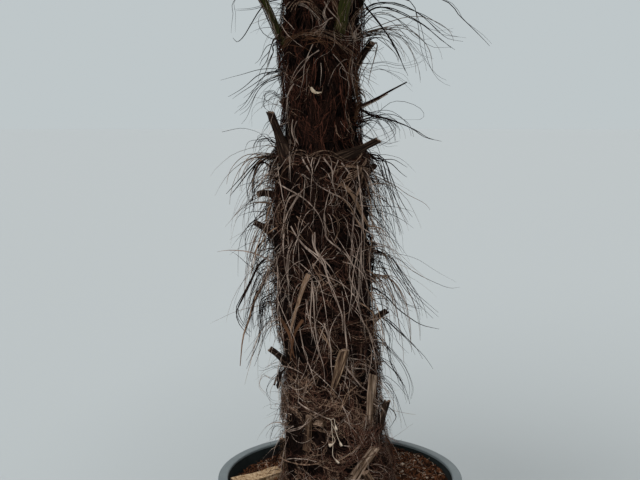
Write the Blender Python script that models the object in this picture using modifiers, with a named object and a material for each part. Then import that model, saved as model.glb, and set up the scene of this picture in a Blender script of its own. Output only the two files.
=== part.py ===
"""A windmill palm growing in a round grey pot, as separate solids.

Metres, +Z up. The origin is the middle of the pot's flat underside, and the front is -Y. The solids
are the pot, the soil that fills it, a slab of bark lying on the soil, the trunk from a flat cut on
the soil to its tip, the cut leaf bases that stand out of its fibre, the hanging tufts of fibre and
dry strips, the fan fronds on their stalks, and the folded spear leaf in the middle of the crown.
"""

import math
import random

import bmesh
import bpy
from mathutils import Matrix, Vector

GAP = 0.0003
UP = Vector((0, 0, 1))
GOLDEN_ANGLE = math.radians(137.508)

# Pot
POT_HEIGHT = 0.45
POT_BASE_RADIUS = 0.205
POT_NECK_RADIUS = 0.257
RIM_RADIUS = 0.275
RIM_MOUTH_RADIUS = 0.253
RIM_DEPTH = 0.042
POT_FLOOR = 0.008
POT_WALL = 0.006
ROUND_STEPS = 36
DRAIN_COUNT = 6
DRAIN_RADIUS = 0.008
DRAIN_RING = 0.12

# Soil
SOIL_LEVEL = POT_HEIGHT - 0.027
SOIL_SEAT_RADIUS = 0.145
SOIL_RISE = 0.010

# Bark slab on the soil
SLAB_LENGTH = 0.126
SLAB_WIDTH = 0.044
SLAB_THICKNESS = 0.016
SLAB_PLACE = (-0.1853, 0.0155, SOIL_LEVEL + 0.0091)
SLAB_TURN = 40
SLAB_TILT = 3

# Trunk: height, radius of the fibre-clad trunk, sideways place of its middle
TRUNK_FOOT = SOIL_LEVEL + GAP
TRUNK_STATIONS = (
    (TRUNK_FOOT, 0.127, -0.004),
    (0.47, 0.121, -0.007),
    (0.53, 0.117, -0.012),
    (0.60, 0.110, -0.017),
    (0.69, 0.106, -0.023),
    (0.77, 0.107, -0.027),
    (0.85, 0.112, -0.032),
    (0.93, 0.115, -0.041),
    (1.02, 0.112, -0.046),
    (1.10, 0.107, -0.043),
    (1.16, 0.105, -0.041),
    (1.20, 0.087, -0.043),
    (1.27, 0.082, -0.045),
    (1.35, 0.081, -0.046),
    (1.415, 0.091, -0.041),
    (1.47, 0.085, -0.040),
    (1.54, 0.076, -0.040),
    (1.61, 0.062, -0.039),
    (1.67, 0.044, -0.038),
    (1.70, 0.024, -0.038),
)
TRUNK_SIDES = 24
TRUNK_RING_STEP = 0.045

# Cut leaf bases: height, bearing, length, lean out from the trunk, tilt to the right as seen from
# outside, width at the foot and width at the cut
SHOWN_BASES = (
    (0.462, 280, 0.105, 6, 34, 0.028, 0.020),
    (0.440, 314, 0.074, 6, -38, 0.024, 0.015),
    (0.441, 192, 0.098, 5, 2, 0.026, 0.012),
    (0.535, 235, 0.084, 9, 11, 0.018, 0.015),
    (0.598, 257, 0.034, 70, 0, 0.024, 0.024),
    (0.543, 329, 0.092, 8, 17, 0.026, 0.018),
    (0.580, 318, 0.122, 6, -2, 0.013, 0.024),
    (0.666, 271, 0.102, 8, 15, 0.010, 0.020),
    (0.700, 184, 0.056, 44, 0, 0.024, 0.015),
    (0.795, 356, 0.045, 48, 0, 0.018, 0.014),
    (0.993, 186, 0.048, 52, 0, 0.022, 0.012),
    (1.080, 184, 0.036, 84, 0, 0.014, 0.012),
    (1.120, 345, 0.036, 40, 8, 0.024, 0.016),
    (1.160, 287, 0.098, 14, 62, 0.036, 0.014),
    (1.158, 222, 0.112, 8, -21, 0.050, 0.018),
    (1.345, 352, 0.075, 33, -2, 0.036, 0.020),
)
HIDDEN_BASE_COUNT = 8
HIDDEN_BASE_FOOT = 0.50
HIDDEN_BASE_STEP = 0.105
BASE_SIDES = 6
BASE_STEPS = 4
BASE_ROOT = 0.006
BASE_HALF_THICKNESS = 0.0068

# Tufts of fibre and dry strips: height, bearing, reach from the trunk, drop
TUFTS = (
    (1.425, 14, 0.205, 0.150),
    (1.245, 358, 0.120, 0.070),
    (1.165, 177, 0.095, 0.130),
    (1.120, 12, 0.080, 0.200),
    (1.020, 170, 0.070, 0.230),
    (0.920, 190, 0.065, 0.170),
    (0.900, 352, 0.095, 0.190),
    (1.150, 262, 0.045, 0.230),
    (1.180, 96, 0.070, 0.200),
    (0.915, 97, 0.060, 0.220),
)
TUFT_STRANDS = 5
TUFT_STEPS = 4

# Fronds
FROND_COUNT = 20
# The draw of small turns and lengths that a frond takes, where the first would touch a neighbour
LATER_DRAWS = {3: 3, 7: 2, 10: 3, 13: 24, 14: 6}
LOW_FRONDS = ((1.405, 193.0), (1.418, 291.0))
LOW_FROND_RISE = 0.19
FROND_RISE = 0.30
SPIRAL_FOOT = 1.485
SPIRAL_TOP = 1.650
SPIRAL_BEARING = 20.0
FROND_LOWEST_LEAN = 90.0
LEAFLETS = 12
FAN_SPREAD = math.radians(290)
BLADE_THICKNESS = 0.0046
STALK_SIDES = 5
STALK_STEPS = 6
STALK_FOOT_WIDTH = 0.028
STALK_FOOT_THICKNESS = 0.019
SPEAR_LENGTH = 0.62


def clear_scene():
    for obj in list(bpy.data.objects):
        bpy.data.objects.remove(obj)


def make_material(name, colour, roughness):
    material = bpy.data.materials.new(name)
    material.use_nodes = True
    shader = material.node_tree.nodes["Principled BSDF"]
    shader.inputs["Base Color"].default_value = (*colour, 1)
    shader.inputs["Roughness"].default_value = roughness
    shader.inputs["Metallic"].default_value = 0.0
    material.diffuse_color = (*colour, 1)
    return material


def new_collection(name):
    collection = bpy.data.collections.new(name)
    bpy.context.scene.collection.children.link(collection)
    return collection


def add_object(name, mesh, material, collection):
    obj = bpy.data.objects.new(name, mesh)
    if material:
        mesh.materials.append(material)
    collection.objects.link(obj)
    return obj


def add_helper(name, mesh, collection):
    helper = add_object(name, mesh, None, collection)
    helper.hide_render = True
    helper.display_type = "WIRE"
    return helper


def mesh_of(bm, name):
    bmesh.ops.recalc_face_normals(bm, faces=bm.faces)
    mesh = bpy.data.meshes.new(name)
    bm.to_mesh(mesh)
    bm.free()
    return mesh


def loft(name, sections):
    """A closed tube through rings of points that have the same count, flat at both ends."""
    bm = bmesh.new()
    rings = [[bm.verts.new(point) for point in ring] for ring in sections]
    count = len(rings[0])
    for below, above in zip(rings, rings[1:]):
        for k in range(count):
            following = (k + 1) % count
            bm.faces.new((below[k], below[following], above[following]))
            bm.faces.new((below[k], above[following], above[k]))
    bm.faces.new(rings[0])
    bm.faces.new(rings[-1])
    return mesh_of(bm, name)


def evaluated_mesh(obj):
    graph = bpy.context.evaluated_depsgraph_get()
    return bpy.data.meshes.new_from_object(obj.evaluated_get(graph))


def apply_modifiers(obj):
    result = evaluated_mesh(obj)
    obj.modifiers.clear()
    old = obj.data
    obj.data = result
    bpy.data.meshes.remove(old)


def boolean(obj, other, operation, solver="EXACT"):
    """Applies one Boolean to an object in place."""
    modifier = obj.modifiers.new(operation.title(), "BOOLEAN")
    modifier.operation = operation
    modifier.solver = solver
    modifier.object = other
    apply_modifiers(obj)


def turned(name, profile, material, collection):
    """A turned solid: the profile runs from the axis out, down the outer side and back to the axis."""
    bm = bmesh.new()
    points = [bm.verts.new((radius, 0, height)) for radius, height in profile]
    for start, end in zip(points, points[1:]):
        bm.edges.new((start, end))
    mesh = bpy.data.meshes.new(name)
    bm.to_mesh(mesh)
    bm.free()
    obj = add_object(name, mesh, material, collection)
    screw = obj.modifiers.new("Turn", "SCREW")
    screw.steps = screw.render_steps = ROUND_STEPS
    screw.use_merge_vertices = True
    screw.merge_threshold = 0.0001
    apply_modifiers(obj)
    return obj


def pot_inner_radius(height):
    """The radius of the pot's inner wall, which steepens inside the rim."""
    neck = POT_HEIGHT - RIM_DEPTH
    if height <= neck:
        return POT_BASE_RADIUS + (POT_NECK_RADIUS - POT_BASE_RADIUS) * height / neck - POT_WALL
    mouth = POT_HEIGHT - (RIM_RADIUS - RIM_MOUTH_RADIUS) / 2
    start = POT_NECK_RADIUS - POT_WALL
    return start + (RIM_MOUTH_RADIUS - start) * (height - neck) / (mouth - neck)


def make_pot(material, parts, cutters):
    rim_width = RIM_RADIUS - RIM_MOUTH_RADIUS
    rim_middle = RIM_MOUTH_RADIUS + rim_width / 2
    crown_of_rim = [
        (
            rim_middle - rim_width / 2 * math.cos(turn),
            POT_HEIGHT - rim_width / 2 + rim_width / 2 * math.sin(turn),
        )
        for turn in (math.pi * k / 4 for k in range(5))
    ]
    profile = [
        (0, POT_FLOOR),
        (pot_inner_radius(POT_FLOOR), POT_FLOOR),
        (pot_inner_radius(POT_HEIGHT - RIM_DEPTH), POT_HEIGHT - RIM_DEPTH),
        *crown_of_rim,
        (RIM_RADIUS - 0.002, POT_HEIGHT - RIM_DEPTH),
        (POT_NECK_RADIUS, POT_HEIGHT - RIM_DEPTH - 0.003),
        (POT_BASE_RADIUS + 0.001, 0.012),
        (POT_BASE_RADIUS - 0.008, 0),
        (0, 0),
    ]
    pot = turned("pot", profile, material, parts)
    for k in range(DRAIN_COUNT):
        bearing = math.tau * (k + 0.5) / DRAIN_COUNT
        bm = bmesh.new()
        bmesh.ops.create_cone(
            bm,
            cap_ends=True,
            segments=10,
            radius1=DRAIN_RADIUS,
            radius2=DRAIN_RADIUS,
            depth=4 * POT_FLOOR,
            matrix=Matrix.Translation(
                (DRAIN_RING * math.cos(bearing), DRAIN_RING * math.sin(bearing), 0)
            ),
        )
        cutter = add_helper(f"drain_cutter_{k}", mesh_of(bm, "drain_cutter"), cutters)
        boolean(pot, cutter, "DIFFERENCE")
    return pot


def soil_height(x, y):
    """The soil's top: flat under the trunk, and uneven towards the pot's wall, higher at the right."""
    radius = math.hypot(x, y)
    edge = POT_NECK_RADIUS - SOIL_SEAT_RADIUS
    share = max(0.0, min(1.0, (radius - SOIL_SEAT_RADIUS) / edge))
    bearing = math.atan2(y, x)
    ripple = 0.35 * math.sin(3 * bearing + 1) + 0.25 * math.sin(5 * bearing)
    return SOIL_LEVEL + SOIL_RISE * share * (math.cos(bearing - 0.5) + ripple)


def make_soil(material, parts):
    floor = POT_FLOOR + GAP
    rim = pot_inner_radius(SOIL_LEVEL) - GAP
    middle = (SOIL_SEAT_RADIUS + rim) / 2
    profile = [
        (0, SOIL_LEVEL),
        (SOIL_SEAT_RADIUS, SOIL_LEVEL),
        (middle, SOIL_LEVEL),
        (rim, SOIL_LEVEL),
        (pot_inner_radius(floor) - GAP, floor),
        (0, floor),
    ]
    soil = turned("soil", profile, material, parts)
    for vertex in soil.data.vertices:
        x, y, z = vertex.co
        radius = math.hypot(x, y)
        if z < SOIL_LEVEL - GAP or radius < SOIL_SEAT_RADIUS + GAP:
            continue
        vertex.co.z = soil_height(x, y)
        if radius > rim - GAP:
            wall = (pot_inner_radius(vertex.co.z) - GAP) / radius
            vertex.co.x *= wall
            vertex.co.y *= wall
    return soil


def make_bark_slab(material, parts):
    """A rough slab of bark lying on the soil at the front left, from near the trunk to the pot's wall."""
    rng = random.Random(3)
    bm = bmesh.new()
    bmesh.ops.create_cube(bm, size=1)
    bmesh.ops.subdivide_edges(bm, edges=bm.edges[:], cuts=2, use_grid_fill=True)
    for vertex in bm.verts:
        x, y, z = vertex.co
        taper = 1 - 0.25 * (x + 0.5)
        jag = rng.uniform(-0.04, 0.04) if abs(y) > 0.4 else 0
        vertex.co = (
            SLAB_LENGTH * (x + 0.3 * jag),
            SLAB_WIDTH * (y * taper + jag),
            SLAB_THICKNESS * z * (0.8 + 0.2 * taper),
        )
    slab = add_object("bark_slab", mesh_of(bm, "bark_slab"), material, parts)
    slab.rotation_euler = (math.radians(SLAB_TILT), 0, math.radians(SLAB_TURN))
    slab.location = SLAB_PLACE
    return slab


def trunk_at(height):
    """The trunk's radius and the place of its middle at a height, smoothed between the stations."""
    stations = TRUNK_STATIONS
    height = max(stations[0][0], min(stations[-1][0], height))
    for (low, r0, x0), (high, r1, x1) in zip(stations, stations[1:]):
        if height <= high:
            share = (height - low) / (high - low)
            share = share * share * (3 - 2 * share)
            return r0 + (r1 - r0) * share, Vector((x0 + (x1 - x0) * share, 0, height))
    return stations[-1][1], Vector((stations[-1][2], 0, height))


def trunk_relief(bearing, height):
    """Low swellings that wind round the trunk where old leaf sheaths lie one over another."""
    shoulder = min(1.0, max(0.0, (1.62 - height) / 0.15)) * min(1.0, (height - TRUNK_FOOT) / 0.05)
    first = 0.0035 * math.sin(3 * bearing + 21 * height)
    second = 0.0025 * math.sin(5 * bearing - 34 * height + 1.0)
    return shoulder * (first + second)


def trunk_point(bearing, height, out=0.0):
    radius, middle = trunk_at(height)
    radius += trunk_relief(bearing, height) + out
    return middle + radius * Vector((math.cos(bearing), math.sin(bearing), 0))


def trunk_heights():
    heights = []
    for (low, *_), (high, *_) in zip(TRUNK_STATIONS, TRUNK_STATIONS[1:]):
        steps = max(1, round((high - low) / TRUNK_RING_STEP))
        heights += [low + (high - low) * k / steps for k in range(steps)]
    return heights + [TRUNK_STATIONS[-1][0]]


def trunk_mesh(name, grown, below=0.0):
    """The trunk's surface, moved out by grown. A cutter also starts lower, to pass the flat foot."""
    rings = []
    heights = trunk_heights()
    for height in heights:
        rings.append(
            [trunk_point(math.tau * k / TRUNK_SIDES, height, grown) for k in range(TRUNK_SIDES)]
        )
    if grown:
        rings.insert(0, [point - UP * below for point in rings[0]])
        rings[-1] = [point + UP * grown for point in rings[-1]]
    return loft(name, rings)


def flat_section(middle, along, side, half_width, half_thickness, sides):
    """A flattened ring round a point of a limb."""
    face = side.cross(along).normalized()
    return [
        middle
        + side * (half_width * math.cos(turn))
        + face * (half_thickness * math.sin(turn))
        for turn in (math.tau * (k + 0.5) / sides for k in range(sides))
    ]


def limb(name, path, half_widths, half_thicknesses, side, sides):
    """A tapering limb of flattened section along a path."""
    rings = []
    for k, point in enumerate(path):
        along = (path[min(k + 1, len(path) - 1)] - path[max(k - 1, 0)]).normalized()
        across = (side - along * side.dot(along)).normalized()
        rings.append(
            flat_section(point, along, across, half_widths[k], half_thicknesses[k], sides)
        )
    return loft(name, rings)


def rising_path(start, bearing, lean_out, lean_more, length, steps, tilt=0.0):
    """Points along a limb that starts leaning out from upright by lean_out, and bends by lean_more.

    Tilt turns its upright to the right, as seen from outside the trunk.
    """
    outward = Vector((math.cos(bearing), math.sin(bearing), 0))
    side = Vector((-math.sin(bearing), math.cos(bearing), 0))
    upright = UP * math.cos(tilt) + side * math.sin(tilt)
    points = [start.copy()]
    for k in range(steps):
        lean = lean_out + lean_more * (k + 0.5) / steps
        direction = outward * math.sin(lean) + upright * math.cos(lean)
        points.append(points[-1] + direction * (length / steps))
    return points


def leaf_bases():
    """The cut leaf bases: those that show in front, and more in the trunk's spiral at the back."""
    bases = list(SHOWN_BASES)
    rng = random.Random(11)
    for k in range(HIDDEN_BASE_COUNT):
        bearing = 60 + (math.degrees(GOLDEN_ANGLE) * k) % 90
        bases.append(
            (
                HIDDEN_BASE_FOOT + HIDDEN_BASE_STEP * k,
                bearing,
                rng.uniform(0.07, 0.10),
                rng.uniform(16, 42),
                rng.uniform(-14, 14),
                rng.uniform(0.034, 0.048),
                rng.uniform(0.020, 0.026),
            )
        )
    return bases


def make_leaf_bases(material, parts, trunk_cutter):
    rows = enumerate(leaf_bases(), 1)
    for number, (height, bearing, length, lean, tilt, foot_width, cut_width) in rows:
        bearing, lean, tilt = (math.radians(angle) for angle in (bearing, lean, tilt))
        start = trunk_point(bearing, height, -BASE_ROOT)
        path = rising_path(start, bearing, 0.7 * lean, 0.6 * lean, length, BASE_STEPS, tilt)
        side = Vector((-math.sin(bearing), math.cos(bearing), 0))
        shares = [k / BASE_STEPS for k in range(BASE_STEPS + 1)]
        half_widths = [
            (foot_width + (cut_width - foot_width) * min(1.0, 1.6 * share)) / 2 for share in shares
        ]
        half_thicknesses = [BASE_HALF_THICKNESS * (1 - 0.15 * share) for share in shares]
        mesh = limb("leaf_base", path, half_widths, half_thicknesses, side, BASE_SIDES)
        base = add_object(f"leaf_base_{number:02d}", mesh, material, parts)
        boolean(base, trunk_cutter, "DIFFERENCE")


def tuft_paths(rng, height, bearing, reach, drop):
    """Paths of a tuft's strands: out of the fibre, over, and down."""
    paths = []
    for k in range(TUFT_STRANDS):
        spread = (k / (TUFT_STRANDS - 1) - 0.5) * math.radians(46)
        turned_bearing = bearing + spread + rng.uniform(-0.05, 0.05)
        outward = Vector((math.cos(turned_bearing), math.sin(turned_bearing), 0))
        start = trunk_point(bearing + 0.25 * spread, height, -0.006)
        far = reach * rng.uniform(0.6, 1.0)
        fall = drop * rng.uniform(0.65, 1.0)
        rise = 0.25 * far
        points = []
        for step in range(TUFT_STEPS + 1):
            share = step / TUFT_STEPS
            out = far * math.sin(share * math.pi / 2) ** 0.8 + 0.012 * share
            up = rise * math.sin(min(1.0, 2.2 * share) * math.pi / 2) - fall * share**1.7
            points.append(start + outward * out + UP * up)
        paths.append((points, turned_bearing))
    return paths


def make_tufts(material, parts, trunk_cutter):
    rng = random.Random(23)
    for number, (height, bearing, reach, drop) in enumerate(TUFTS, 1):
        bearing = math.radians(bearing)
        bm = bmesh.new()
        bmesh.ops.create_icosphere(bm, subdivisions=1, radius=1)
        root = trunk_point(bearing, height, 0.001)
        frame = Matrix.Rotation(bearing, 4, "Z") @ Matrix.Diagonal((0.011, 0.021, 0.013, 1))
        bmesh.ops.transform(bm, matrix=Matrix.Translation(root) @ frame, verts=bm.verts)
        tuft = add_object(f"fibre_tuft_{number:02d}", mesh_of(bm, "fibre_tuft"), material, parts)
        strands = bpy.data.collections.new("tuft_strands")
        bpy.context.scene.collection.children.link(strands)
        for points, strand_bearing in tuft_paths(rng, height, bearing, reach, drop):
            side = Vector((-math.sin(strand_bearing), math.cos(strand_bearing), 0))
            shares = [1 - 0.75 * k / (len(points) - 1) for k in range(len(points))]
            mesh = limb(
                "strand",
                points,
                [0.0036 * share for share in shares],
                [0.0021 * share + 0.0004 for share in shares],
                side,
                3,
            )
            add_helper("strand", mesh, strands)
        join_collection(tuft, strands)
        boolean(tuft, trunk_cutter, "DIFFERENCE")


def join_collection(obj, collection):
    """Unites an object with every object of a collection, which is then removed."""
    modifier = obj.modifiers.new("Join", "BOOLEAN")
    modifier.operation = "UNION"
    modifier.operand_type = "COLLECTION"
    modifier.collection = collection
    apply_modifiers(obj)
    for piece in list(collection.objects):
        bpy.data.objects.remove(piece)
    bpy.data.collections.remove(collection)


class Frond:
    """A fan frond: where its stalk starts, how it rises and bends, and how its blade lies."""

    def __init__(self, number, draw, foot, bearing, age, rise):
        """Age runs from 0, the newest open frond in the middle, to 1, the oldest at the outside.

        Rise is the share of its lean that a stalk has at its foot.
        """
        rng = random.Random(1000 * number + draw)
        self.bearing = bearing + math.radians(rng.uniform(-8, 8))
        self.start = trunk_point(self.bearing, foot, -0.012)
        open_sky = 1 - math.cos(math.radians(FROND_LOWEST_LEAN))
        lean = math.acos(1 - (0.03 + 0.97 * age) * open_sky) + math.radians(rng.uniform(-4, 4))
        self.lean = rise * lean + math.radians(2)
        self.bend = lean - self.lean
        self.stalk = 0.50 + 0.13 * age + rng.uniform(-0.05, 0.05)
        self.reach = 0.36 + 0.06 * age + rng.uniform(-0.01, 0.01)
        self.spread = FAN_SPREAD * min(1.0, 0.34 + 1.6 * age)
        self.sag = 0.04 + 0.16 * age
        self.cup = 0.24 - 0.20 * age
        self.roll = math.radians(rng.uniform(-22, 22))
        self.nod = math.radians(2 + 10 * age + rng.uniform(-5, 5))
        self.side = Vector((-math.sin(self.bearing), math.cos(self.bearing), 0))
        self.path = rising_path(
            self.start, self.bearing, self.lean, self.bend, self.stalk, STALK_STEPS
        )
        self.hub = self.path[-1]
        tangent = (self.path[-1] - self.path[-2]).normalized()
        self.forward = Matrix.Rotation(self.nod, 3, self.side) @ tangent
        self.across = Matrix.Rotation(self.roll, 3, self.forward) @ self.side
        self.face = self.forward.cross(self.across).normalized()

    def leaflet_length(self, angle):
        """Leaflets are longest ahead of the stalk and shorter where they turn back along it."""
        return self.reach * (1 - 0.38 * abs(2 * angle / FAN_SPREAD) ** 1.6)

    def blade_point(self, angle, radius, lift=0.0):
        """A point of the blade: fanned out from the hub, with the far ends sinking."""
        spoke = self.forward * math.cos(angle) + self.across * math.sin(angle)
        share = radius / self.reach
        sink = self.sag * self.reach * share**2.2 * (1 + 0.5 * math.sin(angle) ** 2)
        cup = self.cup * radius * math.sin(angle) ** 2
        return self.hub + spoke * radius + self.face * (lift + cup) - UP * sink


def fronds():
    """The two lowest fronds, where the photograph shows them, and the rest in a spiral."""
    made = []
    for number in range(FROND_COUNT):
        turn = number - len(LOW_FRONDS)
        if turn < 0:
            foot, bearing = LOW_FRONDS[number]
            rise = LOW_FROND_RISE
        else:
            climb = (SPIRAL_TOP - SPIRAL_FOOT) / (FROND_COUNT - len(LOW_FRONDS) - 1)
            foot = SPIRAL_FOOT + climb * turn
            bearing = SPIRAL_BEARING + math.degrees(GOLDEN_ANGLE) * turn
            rise = FROND_RISE
        age = 1 - number / (FROND_COUNT - 1)
        draw = LATER_DRAWS.get(number, 0)
        made.append(Frond(number, draw, foot, math.radians(bearing), age, rise))
    return made


def blade_mesh(fan):
    """The blade's surface: pleated from the hub to the splits, then one pointed tip for each leaflet."""
    rng = random.Random(1)
    bm = bmesh.new()
    hub = bm.verts.new(fan.hub)
    count = max(5, round(LEAFLETS * fan.spread / FAN_SPREAD))
    step = fan.spread / count
    pleat = 0.10 * step

    def vertex(angle, radius, height):
        return bm.verts.new(fan.blade_point(angle, radius, height))

    edges = []
    for k in range(count + 1):
        angle = -fan.spread / 2 + step * k
        radius = fan.leaflet_length(angle) * rng.uniform(0.40, 0.50)
        edges.append((vertex(angle, radius, pleat * radius), radius))
    for k in range(count):
        angle = -fan.spread / 2 + step * (k + 0.5)
        length = fan.leaflet_length(angle)
        (left, left_radius), (right, right_radius) = edges[k], edges[k + 1]
        split = (left_radius + right_radius) / 2
        middle = vertex(angle, split, -pleat * split)
        far = 0.76 * length
        half = 0.30 * step
        far_left = vertex(angle - half, far, 0.4 * pleat * far)
        far_middle = vertex(angle, far, -0.4 * pleat * far)
        far_right = vertex(angle + half, far, 0.4 * pleat * far)
        tip = vertex(angle, length, 0)
        bm.faces.new((hub, left, middle))
        bm.faces.new((hub, middle, right))
        bm.faces.new((left, far_left, far_middle, middle))
        bm.faces.new((middle, far_middle, far_right, right))
        bm.faces.new((far_left, tip, far_middle))
        bm.faces.new((far_middle, tip, far_right))
    return mesh_of(bm, "blade")


def make_fronds(material, parts, trunk_cutter, helpers):
    for number, fan in enumerate(fronds(), 1):
        blade = add_object(f"frond_{number:02d}", blade_mesh(fan), material, parts)
        shell = blade.modifiers.new("Thickness", "SOLIDIFY")
        shell.thickness = BLADE_THICKNESS
        shell.offset = 0
        apply_modifiers(blade)
        costa = [fan.blade_point(0, reach, -0.004) for reach in (0.03, 0.07)]
        path = [*fan.path, *costa]
        count = len(path)
        shares = [k / (count - 1) for k in range(count)]
        half_widths = [STALK_FOOT_WIDTH / 2 * (1 - 0.52 * share) for share in shares]
        half_thicknesses = [STALK_FOOT_THICKNESS / 2 * (1 - 0.60 * share) for share in shares]
        mesh = limb("stalk", path, half_widths, half_thicknesses, fan.side, STALK_SIDES)
        stalk = add_helper("stalk", mesh, helpers)
        boolean(stalk, trunk_cutter, "DIFFERENCE")
        boolean(blade, stalk, "UNION")
        bpy.data.objects.remove(stalk)


def make_spear(material, parts):
    """The newest leaf, still folded, standing out of the crown's middle."""
    radius, middle = trunk_at(TRUNK_STATIONS[-1][0])
    foot = middle + UP * GAP
    shares = (0.0, 0.15, 0.4, 0.7, 0.9, 1.0)
    radii = (0.013, 0.012, 0.015, 0.013, 0.007, 0.002)
    rings = []
    for share, half in zip(shares, radii):
        centre = foot + UP * (SPEAR_LENGTH * share) + Vector((0.02, -0.01, 0)) * share**2
        rings.append(
            [
                centre + Vector((half * math.cos(turn), 0.7 * half * math.sin(turn), 0))
                for turn in (math.tau * k / 8 for k in range(8))
            ]
        )
    add_object("spear_leaf", loft("spear_leaf", rings), material, parts)


def main():
    clear_scene()
    parts = new_collection("windmill_palm")
    helpers = new_collection("cutters")
    plastic = make_material("pot_plastic", (0.16, 0.19, 0.20), 0.5)
    compost = make_material("soil", (0.10, 0.05, 0.03), 0.95)
    bark = make_material("bark_slab", (0.48, 0.34, 0.20), 0.9)
    fibre = make_material("trunk_fibre", (0.09, 0.055, 0.04), 0.95)
    wood = make_material("leaf_base", (0.22, 0.14, 0.08), 0.85)
    dry = make_material("dry_fibre", (0.20, 0.14, 0.10), 0.9)
    leaf = make_material("frond", (0.06, 0.15, 0.04), 0.45)

    make_pot(plastic, parts, helpers)
    make_soil(compost, parts)
    make_bark_slab(bark, parts)
    add_object("trunk", trunk_mesh("trunk", 0.0), fibre, parts)
    cutter = add_helper("trunk_cutter", trunk_mesh("trunk_cutter", GAP + 0.0001, 0.05), helpers)
    make_leaf_bases(wood, parts, cutter)
    make_tufts(dry, parts, cutter)
    make_fronds(leaf, parts, cutter, helpers)
    make_spear(leaf, parts)


main()
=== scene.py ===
"""The looks of a windmill palm in a round grey pot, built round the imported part.

Metres, +Z up, the front is -Y. The trunk gets a core with the old sheaths' relief, a mat of crossing
fibres, hanging strips, loose wisps and the strands that the photograph shows. The fronds, leaf bases
and tufts follow the solids' own rules again, with finer leaflets, ribs and strands. The soil gets a
mulch of bark chips and short fibres.
"""

import math
import random

import bmesh
import bpy
import numpy as np
from mathutils import Matrix, Vector


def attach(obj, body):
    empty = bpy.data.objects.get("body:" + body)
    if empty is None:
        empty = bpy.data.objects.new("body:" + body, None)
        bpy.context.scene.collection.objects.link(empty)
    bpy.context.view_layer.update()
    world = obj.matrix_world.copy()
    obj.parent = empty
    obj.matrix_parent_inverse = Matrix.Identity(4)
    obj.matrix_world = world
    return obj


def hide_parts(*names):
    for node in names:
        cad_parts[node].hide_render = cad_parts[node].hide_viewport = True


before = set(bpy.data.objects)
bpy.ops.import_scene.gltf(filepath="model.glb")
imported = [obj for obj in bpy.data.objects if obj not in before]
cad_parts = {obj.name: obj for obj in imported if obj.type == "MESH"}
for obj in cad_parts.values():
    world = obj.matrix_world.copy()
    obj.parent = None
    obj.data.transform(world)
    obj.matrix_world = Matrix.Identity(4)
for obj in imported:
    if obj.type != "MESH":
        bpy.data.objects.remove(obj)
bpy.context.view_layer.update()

UP = Vector((0, 0, 1))
GOLDEN_ANGLE = math.radians(137.508)

# Stage
BACKGROUND_COLOUR = (0.52, 0.57, 0.585)
SKY_COLOUR = (0.50, 0.50, 0.50)
FLOOR_COLOUR = (0.44, 0.48, 0.49)
FLOOR_RADIUS = 150
# Suns: where each shines from, how wide it looks in degrees, and its power
SUNS = {"key": ((-1.2, -2.6, 3.0), 50, 2.2), "back": ((0.8, 2.6, 3.0), 60, 0.5)}

# Camera, as fitted to the rim's ellipse in the photograph
CAMERA_PLACE = (-0.045, -2.074, 1.243)
CAMERA_PITCH = math.radians(90 - 7.14)
CAMERA_LENS = 53.4
SENSOR_WIDTH = 36
PHOTO_WIDTH, PHOTO_HEIGHT = 640, 480
# One pixel's size at the trunk, and the span from front to axis that a pixel's ray is followed over
PIXEL = 0.0022
RAY_SPAN = (-0.20, 0.0)
RAY_STEPS = 201

# Pot and soil, as in the solids, with the steps of their finer meshes
POT_HEIGHT = 0.45
POT_BASE_RADIUS = 0.205
POT_NECK_RADIUS = 0.257
RIM_RADIUS = 0.275
RIM_MOUTH_RADIUS = 0.253
RIM_DEPTH = 0.042
LIP_ROLL = 0.006
LIP_SQUARENESS = 0.5
LIP_STEPS = 16
POT_FLOOR = 0.008
POT_WALL = 0.006
POT_TURN_STEPS = 144
POT_WALL_RINGS = 9
POT_FOOT_HEIGHT = 0.015
POT_FOOT_GROWTH = 0.001
DRAIN_COUNT = 6
DRAIN_RADIUS = 0.008
DRAIN_RING = 0.12
DRILL_SIDES = 24
DRILL_DEPTH = 0.05
SOIL_LEVEL = POT_HEIGHT - 0.027
SOIL_SEAT_RADIUS = 0.145
SOIL_RISE = 0.010
SOIL_HIGH_BEARING = 0.5
SOIL_RIPPLES = ((0.35, 3, 0, 1), (0.25, 5, 0, 0))
# Where the soil lies higher or lower at the wall: bearing, reach to either side in degrees, rise
SOIL_MOUNDS = ((75, 46, 0.014), (140, 25, -0.008), (0, 34, -0.014))
# The soil's mesh: its gap to the pot, its sides and rings, the waves of its rough top, and where it
# starts round the middle, as a share of its radius, and how far it sinks under the chips
SOIL_GAP = 0.0006
SOIL_SIDES, SOIL_RINGS = 180, 46
SOIL_ROUGHNESS = 0.0022
SOIL_WAVES, SOIL_WAVE_RANGE = 60, (60, 380)
SOIL_START, SOIL_SINK = 0.10, 0.001
# Bark chips: how many, the ring they lie in, their middle and greatest half size, and their shares
CHIP_COUNT = 11000
CHIP_RING = (0.118, 0.2445)
CHIP_SIZE, CHIP_LIMIT = 0.0013, 0.006
CHIP_SHARES = {"chip_dark": 0.48, "chip_red": 0.48, "chip_tan": 0.04}
# How much chips differ in size and tilt, their lengths and thicknesses for their size, how uneven
# their corners are, and how high they lie over the soil
CHIP_VARIETY, CHIP_TILT = 0.45, 0.45
CHIP_LENGTHS, CHIP_THICKNESSES = (1, 2.2), (0.2, 0.6)
CHIP_CORNERS = (0.55, 1.15)
CHIP_LIFTS = (0.0, 0.0045)
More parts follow.
